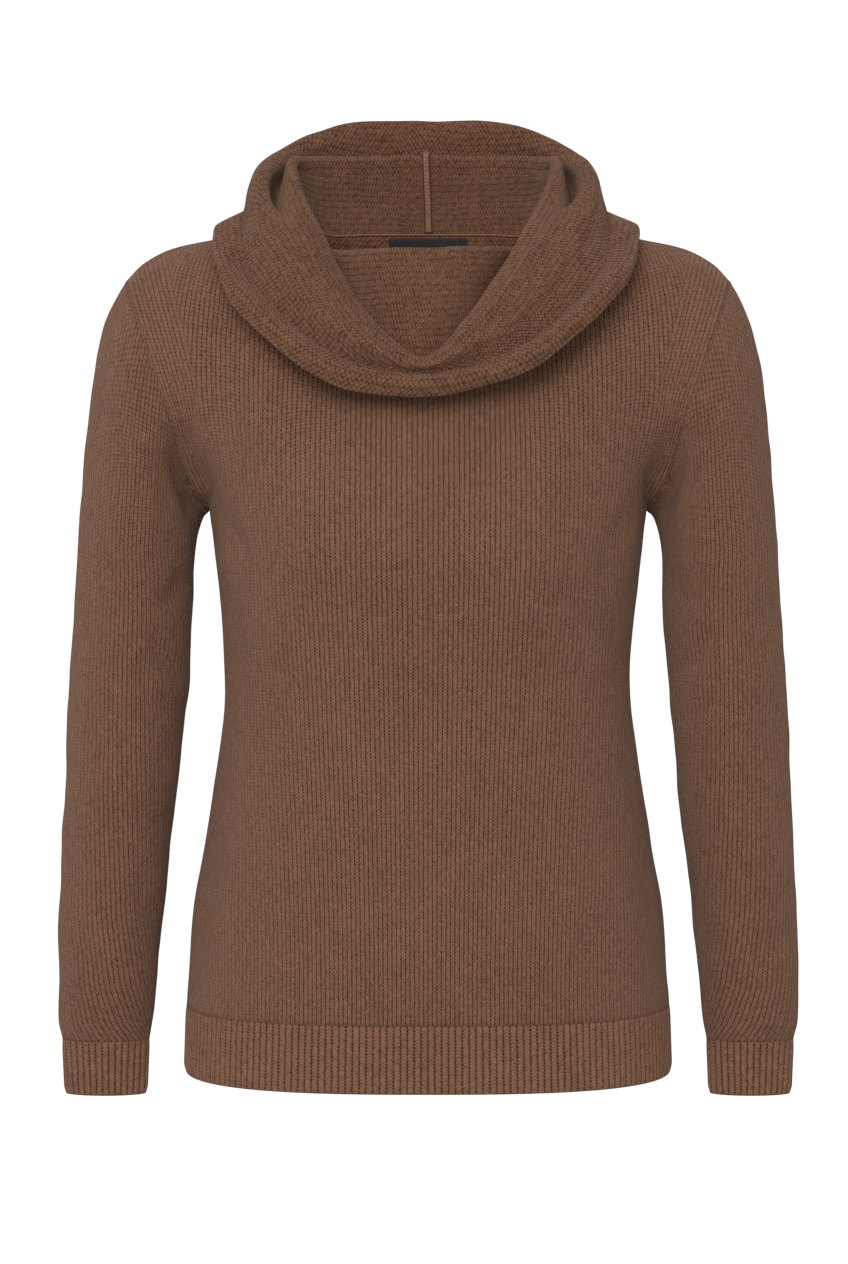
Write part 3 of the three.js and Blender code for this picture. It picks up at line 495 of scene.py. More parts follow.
def cloth_mesh(name, outer, inner, closed, maps, materials):
    """A closed thin shell from an outer and an inner sheet. Maps are named pairs of numbers a point,
    and a row where a map starts anew gives the values that the cloth before it ends with."""
    row_count, column_count = outer.shape[:2]
    points = np.concatenate([outer.reshape(-1, 3), inner.reshape(-1, 3)]) * 0.001
    last = column_count if closed else column_count - 1
    i, j = np.meshgrid(np.arange(row_count - 1), np.arange(last), indexing="ij")
    i, j = i.ravel(), j.ravel()

    def at(i, j):
        return i * column_count + j % column_count

    below = row_count * column_count
    quads = [np.stack([at(i, j), at(i, j + 1), at(i + 1, j + 1), at(i + 1, j)], axis=1)]
    quads.append(np.stack([at(i, j), at(i + 1, j), at(i + 1, j + 1), at(i, j + 1)], axis=1) + below)
    corners = [np.stack([[i, j], [i, j + 1], [i + 1, j + 1], [i + 1, j]], axis=0)]
    corners.append(np.stack([[i, j], [i + 1, j], [i + 1, j + 1], [i, j + 1]], axis=0))

    def rim(i0, j0, i1, j1):
        a, b = at(i0, j0), at(i1, j1)
        quads.append(np.stack([b, a, a + below, b + below], axis=1))
        corners.append(np.stack([[i1, j1], [i0, j0], [i0, j0], [i1, j1]], axis=0))

    k = np.arange(last)
    zero = np.zeros_like(k)
    rim(zero, k, zero, k + 1)
    rim(zero + row_count - 1, k + 1, zero + row_count - 1, k)
    if not closed:
        k = np.arange(row_count - 1)
        zero = np.zeros_like(k)
        rim(k + 1, zero, k, zero)
        rim(k, zero + last, k + 1, zero + last)
    quads = np.concatenate(quads)
    corners = np.concatenate([c.transpose(2, 0, 1) for c in corners])
    mesh = bpy.data.meshes.new(name)
    mesh.vertices.add(len(points))
    mesh.vertices.foreach_set("co", points.ravel())
    mesh.loops.add(quads.size)
    mesh.loops.foreach_set("vertex_index", quads.ravel())
    mesh.polygons.add(len(quads))
    mesh.polygons.foreach_set("loop_start", np.arange(0, quads.size, 4))
    mesh.polygons.foreach_set("use_smooth", np.ones(len(quads), bool))
    mesh.update(calc_edges=True)
    mesh.validate()
    lowest = corners[..., 0].min(axis=1)[:, None]
    for map_name, (u, v, *restarts) in maps.items():
        layer = mesh.uv_layers.new(name=map_name)
        both = np.stack([u[corners[..., 0], corners[..., 1]], v[corners[..., 0], corners[..., 1]]], axis=-1)
        for row, ending in restarts:
            before = (corners[..., 0] == row) & (lowest == row - 1)
            both[before, 1] = ending[corners[..., 1][before]]
        layer.uv.foreach_set("vector", both.astype(np.float32).ravel())
    for material in materials:
        mesh.materials.append(material)
    if len(materials) > 1:
        face_count = (row_count - 1) * last
        sides = np.zeros(len(quads), np.int32)
        sides[face_count : 2 * face_count] = 1
        mesh.polygons.foreach_set("material_index", sides)
    piece = bpy.data.objects.new(name, mesh)
    bpy.context.scene.collection.objects.link(piece)
    return piece


def walls(rows, normals, thickness, closed, first=1, last=0.5, sides=0.6):
    """The outer and inner sheets of a cloth, drawn in at each edge by its own share."""
    tuck = np.ones(rows.shape[:2])
    if not closed:
        tuck[:, [0, -1]] = sides
        tuck[:, [1, -2]] = (1 + sides) / 2
    for row, near, share in ((0, 1, first), (-1, -2, last)):
        tuck[row] = np.minimum(tuck[row], share)
        tuck[near] = np.minimum(tuck[near], (1 + share) / 2)
    half = thickness / 2
    return rows + normals * (half * tuck)[..., None], rows - normals * (half * tuck)[..., None]


def finish_piece(piece, nodes):
    """What every piece is to the frame: it rides on the one body and stands for its nodes."""
    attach(piece, "root")
    if nodes:
        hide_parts(*nodes)


# Node groups


def new_group(name, inputs, outputs):
    group = bpy.data.node_groups.new(name, "ShaderNodeTree")
    for socket, kind, value in inputs:
        made = group.interface.new_socket(socket, in_out="INPUT", socket_type=kind)
        if value is not None:
            made.default_value = value
    for socket, kind in outputs:
        group.interface.new_socket(socket, in_out="OUTPUT", socket_type=kind)
    given = group.nodes.new("NodeGroupInput")
    result = group.nodes.new("NodeGroupOutput")
    return group, given.outputs, result.inputs


class Sums:
    """Short names for the arithmetic that a pattern needs."""

    def __init__(self, tree):
        self.tree = tree

    def math(self, operation, *values):
        node = self.tree.nodes.new("ShaderNodeMath")
        node.operation = operation
        for socket, value in zip(node.inputs, values):
            if isinstance(value, (int, float)):
                socket.default_value = value
            else:
                self.tree.links.new(value, socket)
        return node.outputs[0]

    def add(self, a, b):
        return self.math("ADD", a, b)

    def sub(self, a, b):
        return self.math("SUBTRACT", a, b)

    def mul(self, a, b):
        return self.math("MULTIPLY", a, b)

    def wave(self, turns):
        """0 to 1 and back once a turn, 1 at whole turns."""
        cosine = self.math("COSINE", self.mul(turns, 2 * math.pi))
        return self.math("MULTIPLY_ADD", cosine, 0.5, 0.5)

    def ramp(self, value, low, high):
        node = self.tree.nodes.new("ShaderNodeMapRange")
        node.interpolation_type = "SMOOTHSTEP"
        self.tree.links.new(value, node.inputs["Value"])
        node.inputs["From Min"].default_value = low
        node.inputs["From Max"].default_value = high
        return node.outputs["Result"]

    def mix(self, share, a, b):
        node = self.tree.nodes.new("ShaderNodeMix")
        node.data_type = "RGBA"
        for socket, value in ((node.inputs[0], share), (node.inputs[6], a), (node.inputs[7], b)):
            if isinstance(value, (int, float, tuple)):
                socket.default_value = value
            else:
                self.tree.links.new(value, socket)
        return node.outputs[2]

    def each(self, column, row):
        """A chance value from 0 to 1 for each whole column and row."""
        joined = self.tree.nodes.new("ShaderNodeCombineXYZ")
        self.tree.links.new(column, joined.inputs[0])
        self.tree.links.new(row, joined.inputs[1])
        chance = self.tree.nodes.new("ShaderNodeTexWhiteNoise")
        chance.noise_dimensions = "2D"
        self.tree.links.new(joined.outputs[0], chance.inputs["Vector"])
        return chance.outputs["Value"]

    def noise(self, vector, scale, detail):
        node = self.tree.nodes.new("ShaderNodeTexNoise")
        node.inputs["Scale"].default_value = scale
        node.inputs["Detail"].default_value = detail
        self.tree.links.new(vector, node.inputs["Vector"])
        return node.outputs["Fac"]


# Of the stitch outputs, the first is relief, the last a chance tone for each stitch, and the middle one painted
# shade: how much darker the yarn is drawn in the hollows of the knit.
STITCH_OUTPUTS = [(name, "NodeSocketFloat") for name in ("Height", "Furrow", "Tone")]


def stockinette_group():
    """The right side of the knit: columns of V stitches. Place is counted in wales and courses."""
    group, given, result = new_group(
        "stockinette",
        [("Place", "NodeSocketVector", None)],
        STITCH_OUTPUTS,
    )
    s = Sums(group)
    split = group.nodes.new("ShaderNodeSeparateXYZ")
    group.links.new(given["Place"], split.inputs[0])
    wale, course = split.outputs[0], split.outputs[1]
    off = s.math("ABSOLUTE", s.sub(s.math("FRACT", wale), 0.5))
    leg = s.sub(1, s.math("POWER", s.math("ABSOLUTE", s.mul(s.sub(off, 0.24), 4)), 2))
    round_wale = s.sub(1, s.math("POWER", s.mul(off, 2), 3))
    stitch = s.wave(s.add(course, s.mul(off, 1.5)))
    body = s.mul(s.add(s.mul(leg, 0.45), s.mul(round_wale, 0.55)), s.add(s.mul(stitch, 0.3), 0.7))
    group.links.new(s.math("MAXIMUM", body, 0), result["Height"])
    # Painted shade: the yarn is drawn darker in the furrow between wales and, through between, in the dips between
    # stitches.
    furrow_shade = s.ramp(off, 0.3, 0.5)
    between = s.mul(s.math("POWER", s.sub(1, stitch), 2), 0.45)
    group.links.new(s.add(s.mul(furrow_shade, s.add(s.mul(stitch, -0.5), 1)), between), result["Furrow"])
    legs = s.math("FLOOR", s.mul(wale, 2))
    group.links.new(s.each(legs, s.math("FLOOR", s.add(course, s.mul(off, 1.5)))), result["Tone"])
    return group


def purl_group():
    """The wrong side of the knit: rows of little arcs, each row set half a stitch over."""
    group, given, result = new_group(
        "purl",
        [("Place", "NodeSocketVector", None)],
        STITCH_OUTPUTS,
    )
    s = Sums(group)
    split = group.nodes.new("ShaderNodeSeparateXYZ")
    group.links.new(given["Place"], split.inputs[0])
    wale, course = split.outputs[0], split.outputs[1]
    bowed = s.add(course, s.mul(s.wave(wale), 0.35))
    row = s.math("FLOOR", s.add(bowed, 0.5))
    heads = s.mul(s.sub(s.wave(wale), 0.5), s.sub(s.wave(s.mul(bowed, 0.5)), 0.5))
    bump = s.add(s.add(s.mul(heads, 1.7), 0.425), s.mul(s.wave(bowed), 0.15))
    group.links.new(bump, result["Height"])
    # Painted shade: the lower the purl relief, the darker its yarn is drawn.
    group.links.new(s.sub(1, bump), result["Furrow"])
    group.links.new(s.each(s.math("FLOOR", s.add(wale, s.mul(row, 0.5))), row), result["Tone"])
    return group


def yarn_group():
    """Loose fibres and the uneven dye of a woollen yarn, over Object coordinates, with painted shade where a
    stitch group marks a furrow.
    """
    group, given, result = new_group(
        "yarn",
        [
            ("Colour", "NodeSocketColor", (0.17, 0.09, 0.06, 1)),
            ("Furrow", "NodeSocketFloat", 0.0),
            ("Depth", "NodeSocketFloat", 0.4),
            ("Tone", "NodeSocketFloat", 0.5),
            ("Speckle", "NodeSocketFloat", 0.5),
        ],
        [("Colour", "NodeSocketColor"), ("Fibres", "NodeSocketFloat")],
    )
    s = Sums(group)
    place = group.nodes.new("ShaderNodeTexCoord").outputs["Object"]
    fibres = s.noise(place, 1100, 2)
    patches = s.noise(place, 22, 2)
    shade = s.add(s.mul(s.sub(fibres, 0.5), 1.15), s.mul(s.sub(patches, 0.5), 0.16))
    shade = s.add(shade, s.mul(s.sub(given["Tone"], 0.5), given["Speckle"]))
    # Painted shade: the yarn is drawn darker by the furrow mask times its depth.
    shade = s.sub(s.add(1, shade), s.mul(given["Furrow"], given["Depth"]))
    tone = group.nodes.new("ShaderNodeVectorMath")
    tone.operation = "SCALE"
    group.links.new(given["Colour"], tone.inputs[0])
    group.links.new(s.math("MAXIMUM", shade, 0.12), tone.inputs["Scale"])
    group.links.new(tone.outputs[0], result["Colour"])
    group.links.new(fibres, result["Fibres"])
    return group


STOCKINETTE = stockinette_group()
PURL = purl_group()
YARN = yarn_group()


def place_group(tree, group, **values):
    node = tree.nodes.new("ShaderNodeGroup")
    node.node_tree = group
    for name, value in values.items():
        socket = node.inputs[name.replace("_", " ")]
        if isinstance(value, (int, float, tuple)):
            socket.default_value = value
        else:
            tree.links.new(value, socket)
    return node.outputs


def read_map(tree, name):
    uv = tree.nodes.new("ShaderNodeUVMap")
    uv.uv_map = name
    return uv.outputs[0]


def both_ways(tree, name):
    split = tree.nodes.new("ShaderNodeSeparateXYZ")
    tree.links.new(read_map(tree, name), split.inputs[0])
    return split.outputs[0], split.outputs[1]


def wool(name, colour, stitch, furrow_shade_depth, bump, speckle=0.5, two_ways=False, worn_as=None):
    """Matt woollen knit, with painted shade in the furrows between stitches. The stitch group reads the piece's
    own maps, which count stitches.
    """
    material = bpy.data.materials.new(name)
    material.use_nodes = True
    tree = material.node_tree
    shader = tree.nodes["Principled BSDF"]
    s = Sums(tree)
    knit = place_group(tree, stitch, Place=read_map(tree, "stitches"))
    height, furrow_shade, tone = (knit[key] for key in ("Height", "Furrow", "Tone"))
    if two_ways:
        other = place_group(tree, stitch, Place=read_map(tree, "other_stitches"))
        share = both_ways(tree, "share")[0]
        height, furrow_shade, tone = (
            s.add(one, s.mul(share, s.sub(other[key], one)))
            for key, one in (("Height", height), ("Furrow", furrow_shade), ("Tone", tone))
        )
    # How strongly the furrows are drawn darker: painted shade.
    depth = furrow_shade_depth
    if worn_as == "body":
        # Beside the armhole the painted furrow shade is weaker, so the wales look fainter; fashioning marks there
        # are dented into the relief, and their darkness is painted shade
        depth = s.mul(s.sub(1, s.mul(share, 0.25)), furrow_shade_depth)
        off, along = both_ways(tree, "armhole")
        stroke = s.sub(1, s.ramp(s.math("ABSOLUTE", s.sub(off, 11)), 0.5, 1.7))
        step = s.math("ABSOLUTE", s.sub(s.math("FRACT", s.mul(along, 1 / 14)), 0.5))
        stroke = s.mul(stroke, s.sub(1, s.ramp(step, 0.06, 0.2)))
        stroke = s.mul(stroke, s.mul(s.ramp(along, 34, 48), s.sub(1, s.ramp(along, 112, 122))))
        # Painted shade in the fashioning marks
        furrow_shade = s.add(furrow_shade, s.mul(stroke, 0.5))
        height = s.sub(height, s.mul(stroke, 0.6))
    yarn = place_group(
        tree, YARN, Colour=colour, Furrow=furrow_shade, Depth=depth, Tone=tone, Speckle=speckle
    )
    tree.links.new(yarn["Colour"], shader.inputs["Base Color"])
    relief = tree.nodes.new("ShaderNodeBump")
    relief.inputs["Strength"].default_value = 1
    relief.inputs["Distance"].default_value = bump * 0.001
    tree.links.new(s.add(height, s.mul(yarn["Fibres"], 0.6)), relief.inputs["Height"])
    tree.links.new(relief.outputs[0], shader.inputs["Normal"])
    shader.inputs["Roughness"].default_value = 1
    shader.inputs["Specular IOR Level"].default_value = 0.06
    shader.inputs["Sheen Weight"].default_value = 0.12
    shader.inputs["Sheen Roughness"].default_value = 0.4
    shader.inputs["Sheen Tint"].default_value = (0.72, 0.5, 0.38, 1)
    return material


BROWN = (0.098, 0.0485, 0.029, 1)
SLEEVE_BROWN = (0.094, 0.0465, 0.0277, 1)
COLLAR_BROWN = (0.1, 0.0475, 0.0268, 1)
RIB_BROWN = (0.102, 0.0505, 0.0303, 1)
BODY_KNIT = wool("brown_stockinette", BROWN, STOCKINETTE, 0.75, 0.8, 0.28, two_ways=True, worn_as="body")
KNIT = wool("sleeve_stockinette", SLEEVE_BROWN, STOCKINETTE, 0.66, 0.8, 0.28)
INSIDE = wool("brown_purl", COLLAR_BROWN, PURL, 0.5, 0.9, 0.3)
RIB = wool("brown_rib", RIB_BROWN, STOCKINETTE, 0.75, 0.5, 0.25)


def label_material():
    """A plain dark woven strip."""
    material = bpy.data.materials.new("dark_woven_strip")
    material.use_nodes = True
    tree = material.node_tree
    shader = tree.nodes["Principled BSDF"]
    s = Sums(tree)
    uv = tree.nodes.new("ShaderNodeUVMap")
    uv.uv_map = "stitches"
    split = tree.nodes.new("ShaderNodeSeparateXYZ")
    tree.links.new(uv.outputs[0], split.inputs[0])
    across, down = split.outputs[0], split.outputs[1]
    weave = s.mul(s.wave(s.mul(s.add(across, down), 1.4)), s.wave(s.mul(down, 2.6)))
    place = tree.nodes.new("ShaderNodeTexCoord").outputs["Object"]
    blotch = s.add(s.mul(weave, 0.35), s.mul(s.noise(place, 500, 2), 0.65))
    colour = s.mix(blotch, (0.008, 0.008, 0.0085, 1), (0.026, 0.024, 0.023, 1))
    tree.links.new(colour, shader.inputs["Base Color"])
    relief = tree.nodes.new("ShaderNodeBump")
    relief.inputs["Distance"].default_value = 0.0002
    tree.links.new(weave, relief.inputs["Height"])
    tree.links.new(relief.outputs[0], shader.inputs["Normal"])
    shader.inputs["Roughness"].default_value = 0.85
    shader.inputs["Specular IOR Level"].default_value = 0.1
    return material


LABEL = label_material()


# The body


def panel_maps(rows):
    """Wales across, counted from the middle, and again from the armholes for the band beside them."""
    flat = rows.copy()
    flat[..., 2] = 0
    steps = np.linalg.norm(np.diff(flat, axis=1), axis=2)
    across = np.concatenate([np.zeros((len(rows), 1)), np.cumsum(steps, axis=1)], axis=1)
    across = across - across[:, across.shape[1] // 2][:, None]
    up = np.linalg.norm(np.diff(rows, axis=0), axis=2).mean(axis=1)
    up = np.concatenate([[0], np.cumsum(up)])[:, None] + 0 * across
    wale = HEM_WALE + (CHEST_WALE - HEM_WALE) * smoothstep(-560, -190, rows[..., 2])
    steps = np.linalg.norm(np.diff(rows, axis=1), axis=2)
    round_about = np.concatenate([np.zeros((len(rows), 1)), np.cumsum(steps, axis=1)], axis=1)
    from_left = round_about[:, -1:] - round_about
    off = np.minimum(round_about, from_left)
    off[:SEAM_ROW] += 400
    nearest = np.where(round_about < from_left, 0, -1)
    edge_up = np.stack([measured(rows[SEAM_ROW:, column]) for column in (0, -1)], axis=-1)
    along = np.zeros(rows.shape[:2])
    along[SEAM_ROW:] = np.where(nearest[SEAM_ROW:] == 0, edge_up[:, :1], edge_up[:, 1:])
    share = 1 - smoothstep(ARMHOLE_BAND - 3, ARMHOLE_BAND + 3, off)
    share *= smoothstep(0, 20, along)
    return {
        "stitches": (across / wale, up / BODY_COURSE),
        "other_stitches": (off / CHEST_WALE + 0.5, up / BODY_COURSE),
        "share": (share, share),
        "armhole": (off, along),
    }


def sleeve_map(rows, side):
    """Wales run straight down the arm from the outer line round both ways to the underarm seam."""
    table = np.array(SLEEVE_SECTIONS, float)
    x, z = side * rows[..., 0], rows[..., 2]
    outer = np.interp(-z, -table[:, 1], table[:, 0])
    inner = np.interp(-z, -table[4:, 3], table[4:, 2]) - 2.5
    depth = np.interp(-z, -table[3:, 3], (table[3:, 4] + table[3:, 5]) / 2)
    turn = np.arccos(np.clip(2 * (x - inner) / (outer - inner) - 1, -1, 1))
    own = math.pi * np.abs(1 - np.arange(rows.shape[1]) / 64)
    for known, part in ((52, slice(52, 65)), (76, slice(64, 77))):
        turn[:, part] = turn[:, [known]] * own[part] / own[known]
    for known, further, part in ((12, 16, slice(0, 12)), (116, 112, slice(117, None))):
        pace = np.clip((turn[:, known] - turn[:, further]) / (own[known] - own[further]), 0.5, 1.5)
        turn[:, part] = turn[:, [known]] + pace[:, None] * (own[part] - own[known])
    radius = ((outer - inner) / 2 + depth) / 2
    across = turn * radius
    across[:, : rows.shape[1] // 2] *= -1
    across = np.concatenate([across, -across[:, :1]], axis=1)
    up = np.linalg.norm(np.diff(rows, axis=0), axis=2).mean(axis=1)
    up = np.concatenate([[0], np.cumsum(up)])[:, None] + 0 * across
    return across / SLEEVE_WALE, -up / BODY_COURSE


SEAM_ROW = 90
SHOULDER = SHOULDER_COLUMNS * 6


def join_body(body_normals, sleeve_normals):
    """One normal for both sides of each side, shoulder and armhole seam."""
    front, back = body_normals["front"], body_normals["back"]
    for here, there in ((0, -1), (-1, 0)):
        both = unit(front[: SEAM_ROW + 1, here] + back[: SEAM_ROW + 1, there])
        front[: SEAM_ROW + 1, here] = both
        back[: SEAM_ROW + 1, there] = both
    for part in (slice(0, SHOULDER + 1), slice(-SHOULDER - 1, None)):
        other = slice(-SHOULDER - 1, None) if part.start == 0 else slice(0, SHOULDER + 1)
        both = unit(front[-1, part] + back[-1, other][::-1])
        front[-1, part] = both
        back[-1, other] = both[::-1]
    for side in (-1, 1):
        ring = sleeve_normals[side][0].copy()
        joined = []
        for name, near in (("front", -1), ("back", 1)):
            steps = np.arange(65) if near == side else -np.arange(65) % 128
            column = 0 if near == side else -1
            ring[steps] += body_normals[name][SEAM_ROW:, column]
            joined.append((name, steps, column))
        ring = unit(ring)
        sleeve_normals[side][0] = ring
        for name, steps, column in joined:
            body_normals[name][SEAM_ROW:, column] = ring[steps]


def sleeve_normals_of(rows):
    """Normals of a sleeve, outwards on both arms."""
    normals = normals_of(rows, True)
    outwards = np.mean((rows - rows.mean(axis=1, keepdims=True)) * normals) > 0
    return normals if outwards else -normals


body = {name: body_rows(name == "front", 6) for name in ("front", "back")}
sleeves = {side: sleeve_rows(side) for side in (-1, 1)}
smooth_sleeves = dict(sleeves)
collar, collar_stations, fold_rows = collar_rows()

for creasing in (True, False):
    body_normals = {name: normals_of(rows, False) for name, rows in body.items()}
    sleeve_normals = {side: sleeve_normals_of(rows) for side, rows in sleeves.items()}
    join_body(body_normals, sleeve_normals)
    if not creasing:
        break
    for group, all_normals, closed, slack in (
        (body, body_normals, False, "body"),
        (sleeves, sleeve_normals, True, "sleeve"),
    ):
        for seed, (key, rows) in enumerate(group.items()):
            normals = all_normals[key]
            ends = np.ones(len(rows))
            ends[:6] = np.linspace(0, 1, 6) if group is body else 1
            ends[-8:] = np.linspace(1, 0, 8)
            pressed = creased(rows, normals, CREASES) * ends[:, None]
            loose = wandering(rows, *SLACK[slack], seed + 2 * closed) * held_edges(rows, closed)
            group[key] = rows + normals * (loose - pressed)[..., None]

# The collar, its own wander, and the neckline seam
collar_normals = normals_of(collar, True)
loose = wandering(collar, *SLACK["collar"], 6)
collar = collar + collar_normals * (loose * held_edges(collar, True, 12))[..., None]
for x in (-110, 103):
    # A narrow pocket on each shoulder, where the folds pinch the cloth
    beside = np.exp(-(((collar[..., 0] - x) / 13) ** 2) - ((collar[..., 1] + 5) / 22) ** 2)
    from_valley = (np.arange(len(collar)) - fold_rows[4])[:, None]
    collar[..., 2] -= 9 * beside * np.exp(-((from_valley / 5) ** 2))
collar_normals = normals_of(collar, True)
neck_columns = {
    "front": slice(SHOULDER, -SHOULDER),
    "back": slice(SHOULDER, -SHOULDER),
}
neck_stations = {
    "front": np.linspace(0, FRONT_STATIONS, FRONT_NECK_COLUMNS * 6 + 1),
    "back": np.linspace(FRONT_STATIONS, FRONT_STATIONS + BACK_STATIONS, BACK_NECK_COLUMNS * 6 + 1),
}
all_stations = np.concatenate([neck_stations["front"], neck_stations["back"][1:]])
body_ring = np.concatenate(
    [body_normals["front"][-1, neck_columns["front"]], body_normals["back"][-1, neck_columns["back"]][1:]]
)
collar_ring = np.stack(
    [
        np.interp(all_stations, collar_stations, collar_normals[0, :, k], period=14)
        for k in range(3)
    ],
    axis=1,
)
neck_ring = unit(body_ring + collar_ring)
for _ in range(30):
    neck_ring[:-1] = unit(
        np.roll(neck_ring[:-1], 1, axis=0) + 2 * neck_ring[:-1] + np.roll(neck_ring[:-1], -1, axis=0)
    )
    neck_ring[-1] = neck_ring[0]
front_count = FRONT_NECK_COLUMNS * 6 + 1
body_normals["front"][-1, neck_columns["front"]] = neck_ring[:front_count]
body_normals["back"][-1, neck_columns["back"]] = neck_ring[front_count - 1 :]
collar_normals[0] = unit(
    np.stack([np.interp(collar_stations, all_stations, neck_ring[:, k]) for k in range(3)], axis=1)
)

PANEL_CUTS = {"front": (0.53, 0.62, 0.245), "back": (0.51, 0.62, 0.235)}
for name, rows in body.items():
    outer, inner = walls(rows, body_normals[name], BODY_WALL, False, last=0.8)
    piece = cloth_mesh(name + "_panel_knit", outer, inner, False, panel_maps(rows), [BODY_KNIT, INSIDE])
    finish_piece(piece, [name + "_panel"])
    width, length, area = PANEL_CUTS[name]

SIDES = {-1: "right", 1: "left"}
for side, name in SIDES.items():
    rows, normals = sleeves[side], sleeve_normals[side]
    outer, inner = walls(rows, normals, BODY_WALL, True, first=0.6, last=1)
    maps = {"stitches": sleeve_map(smooth_sleeves[side], side)}
    piece = cloth_mesh(name + "_sleeve_knit", outer, inner, True, maps, [KNIT, INSIDE])
    finish_piece(piece, [name + "_sleeve"])


# The collar


def collar_maps(rows):
    """The wales open out with the cloth. Their rows follow the stand's fold, the V edge and the roll."""
    closed_rows = np.concatenate([rows, rows[:, :1]], axis=1)
    steps = np.linalg.norm(np.diff(closed_rows, axis=1), axis=2)
    round_about = np.concatenate([np.zeros((len(rows), 1)), np.cumsum(steps, axis=1)], axis=1)
    share = round_about / round_about[:, -1:]
    climbed = np.linalg.norm(np.diff(closed_rows, axis=0), axis=2)
    climbed = np.concatenate([np.zeros((1, share.shape[1])), np.cumsum(climbed, axis=0)])
    up = np.zeros_like(share)
    restarts = []
    for first, fold in ((0, 1), (2, 3), (6, 7)):
        row = fold_rows[first] if first else 0
        if row:
            before = climbed[row] - climbed[row - 1] + up[row - 1]
            restarts.append((row, before / COLLAR_COURSE))
        up[row:] = climbed[row:] - climbed[fold_rows[fold]] + climbed[fold_rows[fold]].mean()
    return {"stitches": (share * COLLAR_WALES, up / COLLAR_COURSE, *restarts)}


COLLAR_PURL = wool("collar_purl", COLLAR_BROWN, PURL, 0.76, 1.0, 0.28)
COLLAR_KNIT = wool("collar_stockinette", COLLAR_BROWN, STOCKINETTE, 0.5, 0.8, 0.3)

outer, inner = walls(collar, collar_normals, COLLAR_WALL, True, first=1, last=0.6)
cowl = cloth_mesh("cowl_collar_knit", outer, inner, True, collar_maps(collar), [COLLAR_KNIT, COLLAR_PURL])
finish_piece(cowl, ["cowl_collar"])


# Rib bands


def ribbed_band(name, rows, closed, free_first, slot_nodes):
    """A band with its ribs raised on the outside, from the edge or the seam, rows as given."""
    normals = normals_of(rows, closed)
    columns = rows.shape[1]
    count = np.arange(columns)
    phase = (count / 8) % 1
    jitter = np.array([0.9 + 0.2 * noise.noise(Vector((k // 8 * 0.77, len(name), 0))) for k in count])
    crest = (0.5 - 0.5 * np.cos(2 * math.pi * phase)) ** 0.6 * jitter
    from_edge = np.arange(len(rows)) if free_first else np.arange(len(rows))[::-1]
    ends = smoothstep(-0.8, 2.2, from_edge)[:, None]
    seam = 1 - smoothstep(0, 2.5, from_edge[::-1])[:, None]
    outwards = (RIB_FURROW_WALL - BODY_WALL / 2 + RIB_RAISE * crest)[None] * (1 - seam) * ends
    outwards = outwards + BODY_WALL / 2 * seam
    outer = rows + normals * outwards[..., None]
    inner = rows - normals * (BODY_WALL / 2 * np.clip(ends, 0.5, 1))[..., None]
    last = columns + 1 if closed else columns
    up = measured(rows[:, 0])[:, None] + np.zeros((1, last))
    across = np.arange(last)[None] / 8 + 0 * up
    piece = cloth_mesh(name, outer, inner, closed, {"stitches": (across, up / BODY_COURSE)}, [RIB, INSIDE])
    finish_piece(piece, slot_nodes)
    return piece


for name in ("front", "back"):
    is_front = name == "front"
    length = measured(half_section(HEM_SEAM_HEIGHT, is_front, 400))[-1]
    ribs = round(length / HEM_RIB_PITCH)
    heights = np.linspace(HEM_HEIGHT, HEM_SEAM_HEIGHT - SEAM_GAP, 20)
    rows = np.array([half_section(z, is_front, ribs * 8) for z in heights])
    piece = ribbed_band(name + "_hem_rib_knit", rows, False, True, [name + "_hem_rib"])

for side, name in SIDES.items():
    turns = math.pi + side * np.linspace(0, 2 * math.pi, 721)
    ends = [sleeve_points(section, turns, side) for section in (SLEEVE_SECTIONS[-1], CUFF_END)]
    ribs = round(measured(ends[1])[-1] / CUFF_RIB_PITCH)
    top, bottom = (evenly(end, ribs * 8)[:-1] for end in ends)
    share = np.linspace(0.003, 1, 16)[:, None, None]
    rows = top[None] + (bottom - top)[None] * share
    piece = ribbed_band(name + "_cuff_knit", rows, True, False, [name + "_cuff"])


# The seam that joins the collar band, up the inside of the back


def ridge_wool():
    """The linked ridge: lighter along its top, with painted shade as a dark line down each side."""
    material = wool("linked_ridge", (0.124, 0.0625, 0.038, 1), STOCKINETTE, 0.2, 0.5, 0.3)
    tree = material.node_tree
    s = Sums(tree)
    across = s.math("ABSOLUTE", both_ways(tree, "stitches")[0])
    yarn = next(n for n in tree.nodes if n.type == "GROUP" and n.node_tree == YARN)
    shade = tree.nodes.new("ShaderNodeVectorMath")
    shade.operation = "SCALE"
    tree.links.new(yarn.outputs["Colour"], shade.inputs[0])
    # Painted shade: the yarn is drawn darker towards both sides of the ridge.
    tree.links.new(s.sub(1, s.mul(s.ramp(across, 0.4, 0.75), 0.85)), shade.inputs["Scale"])
    tree.links.new(shade.outputs[0], tree.nodes["Principled BSDF"].inputs["Base Color"])
    return material


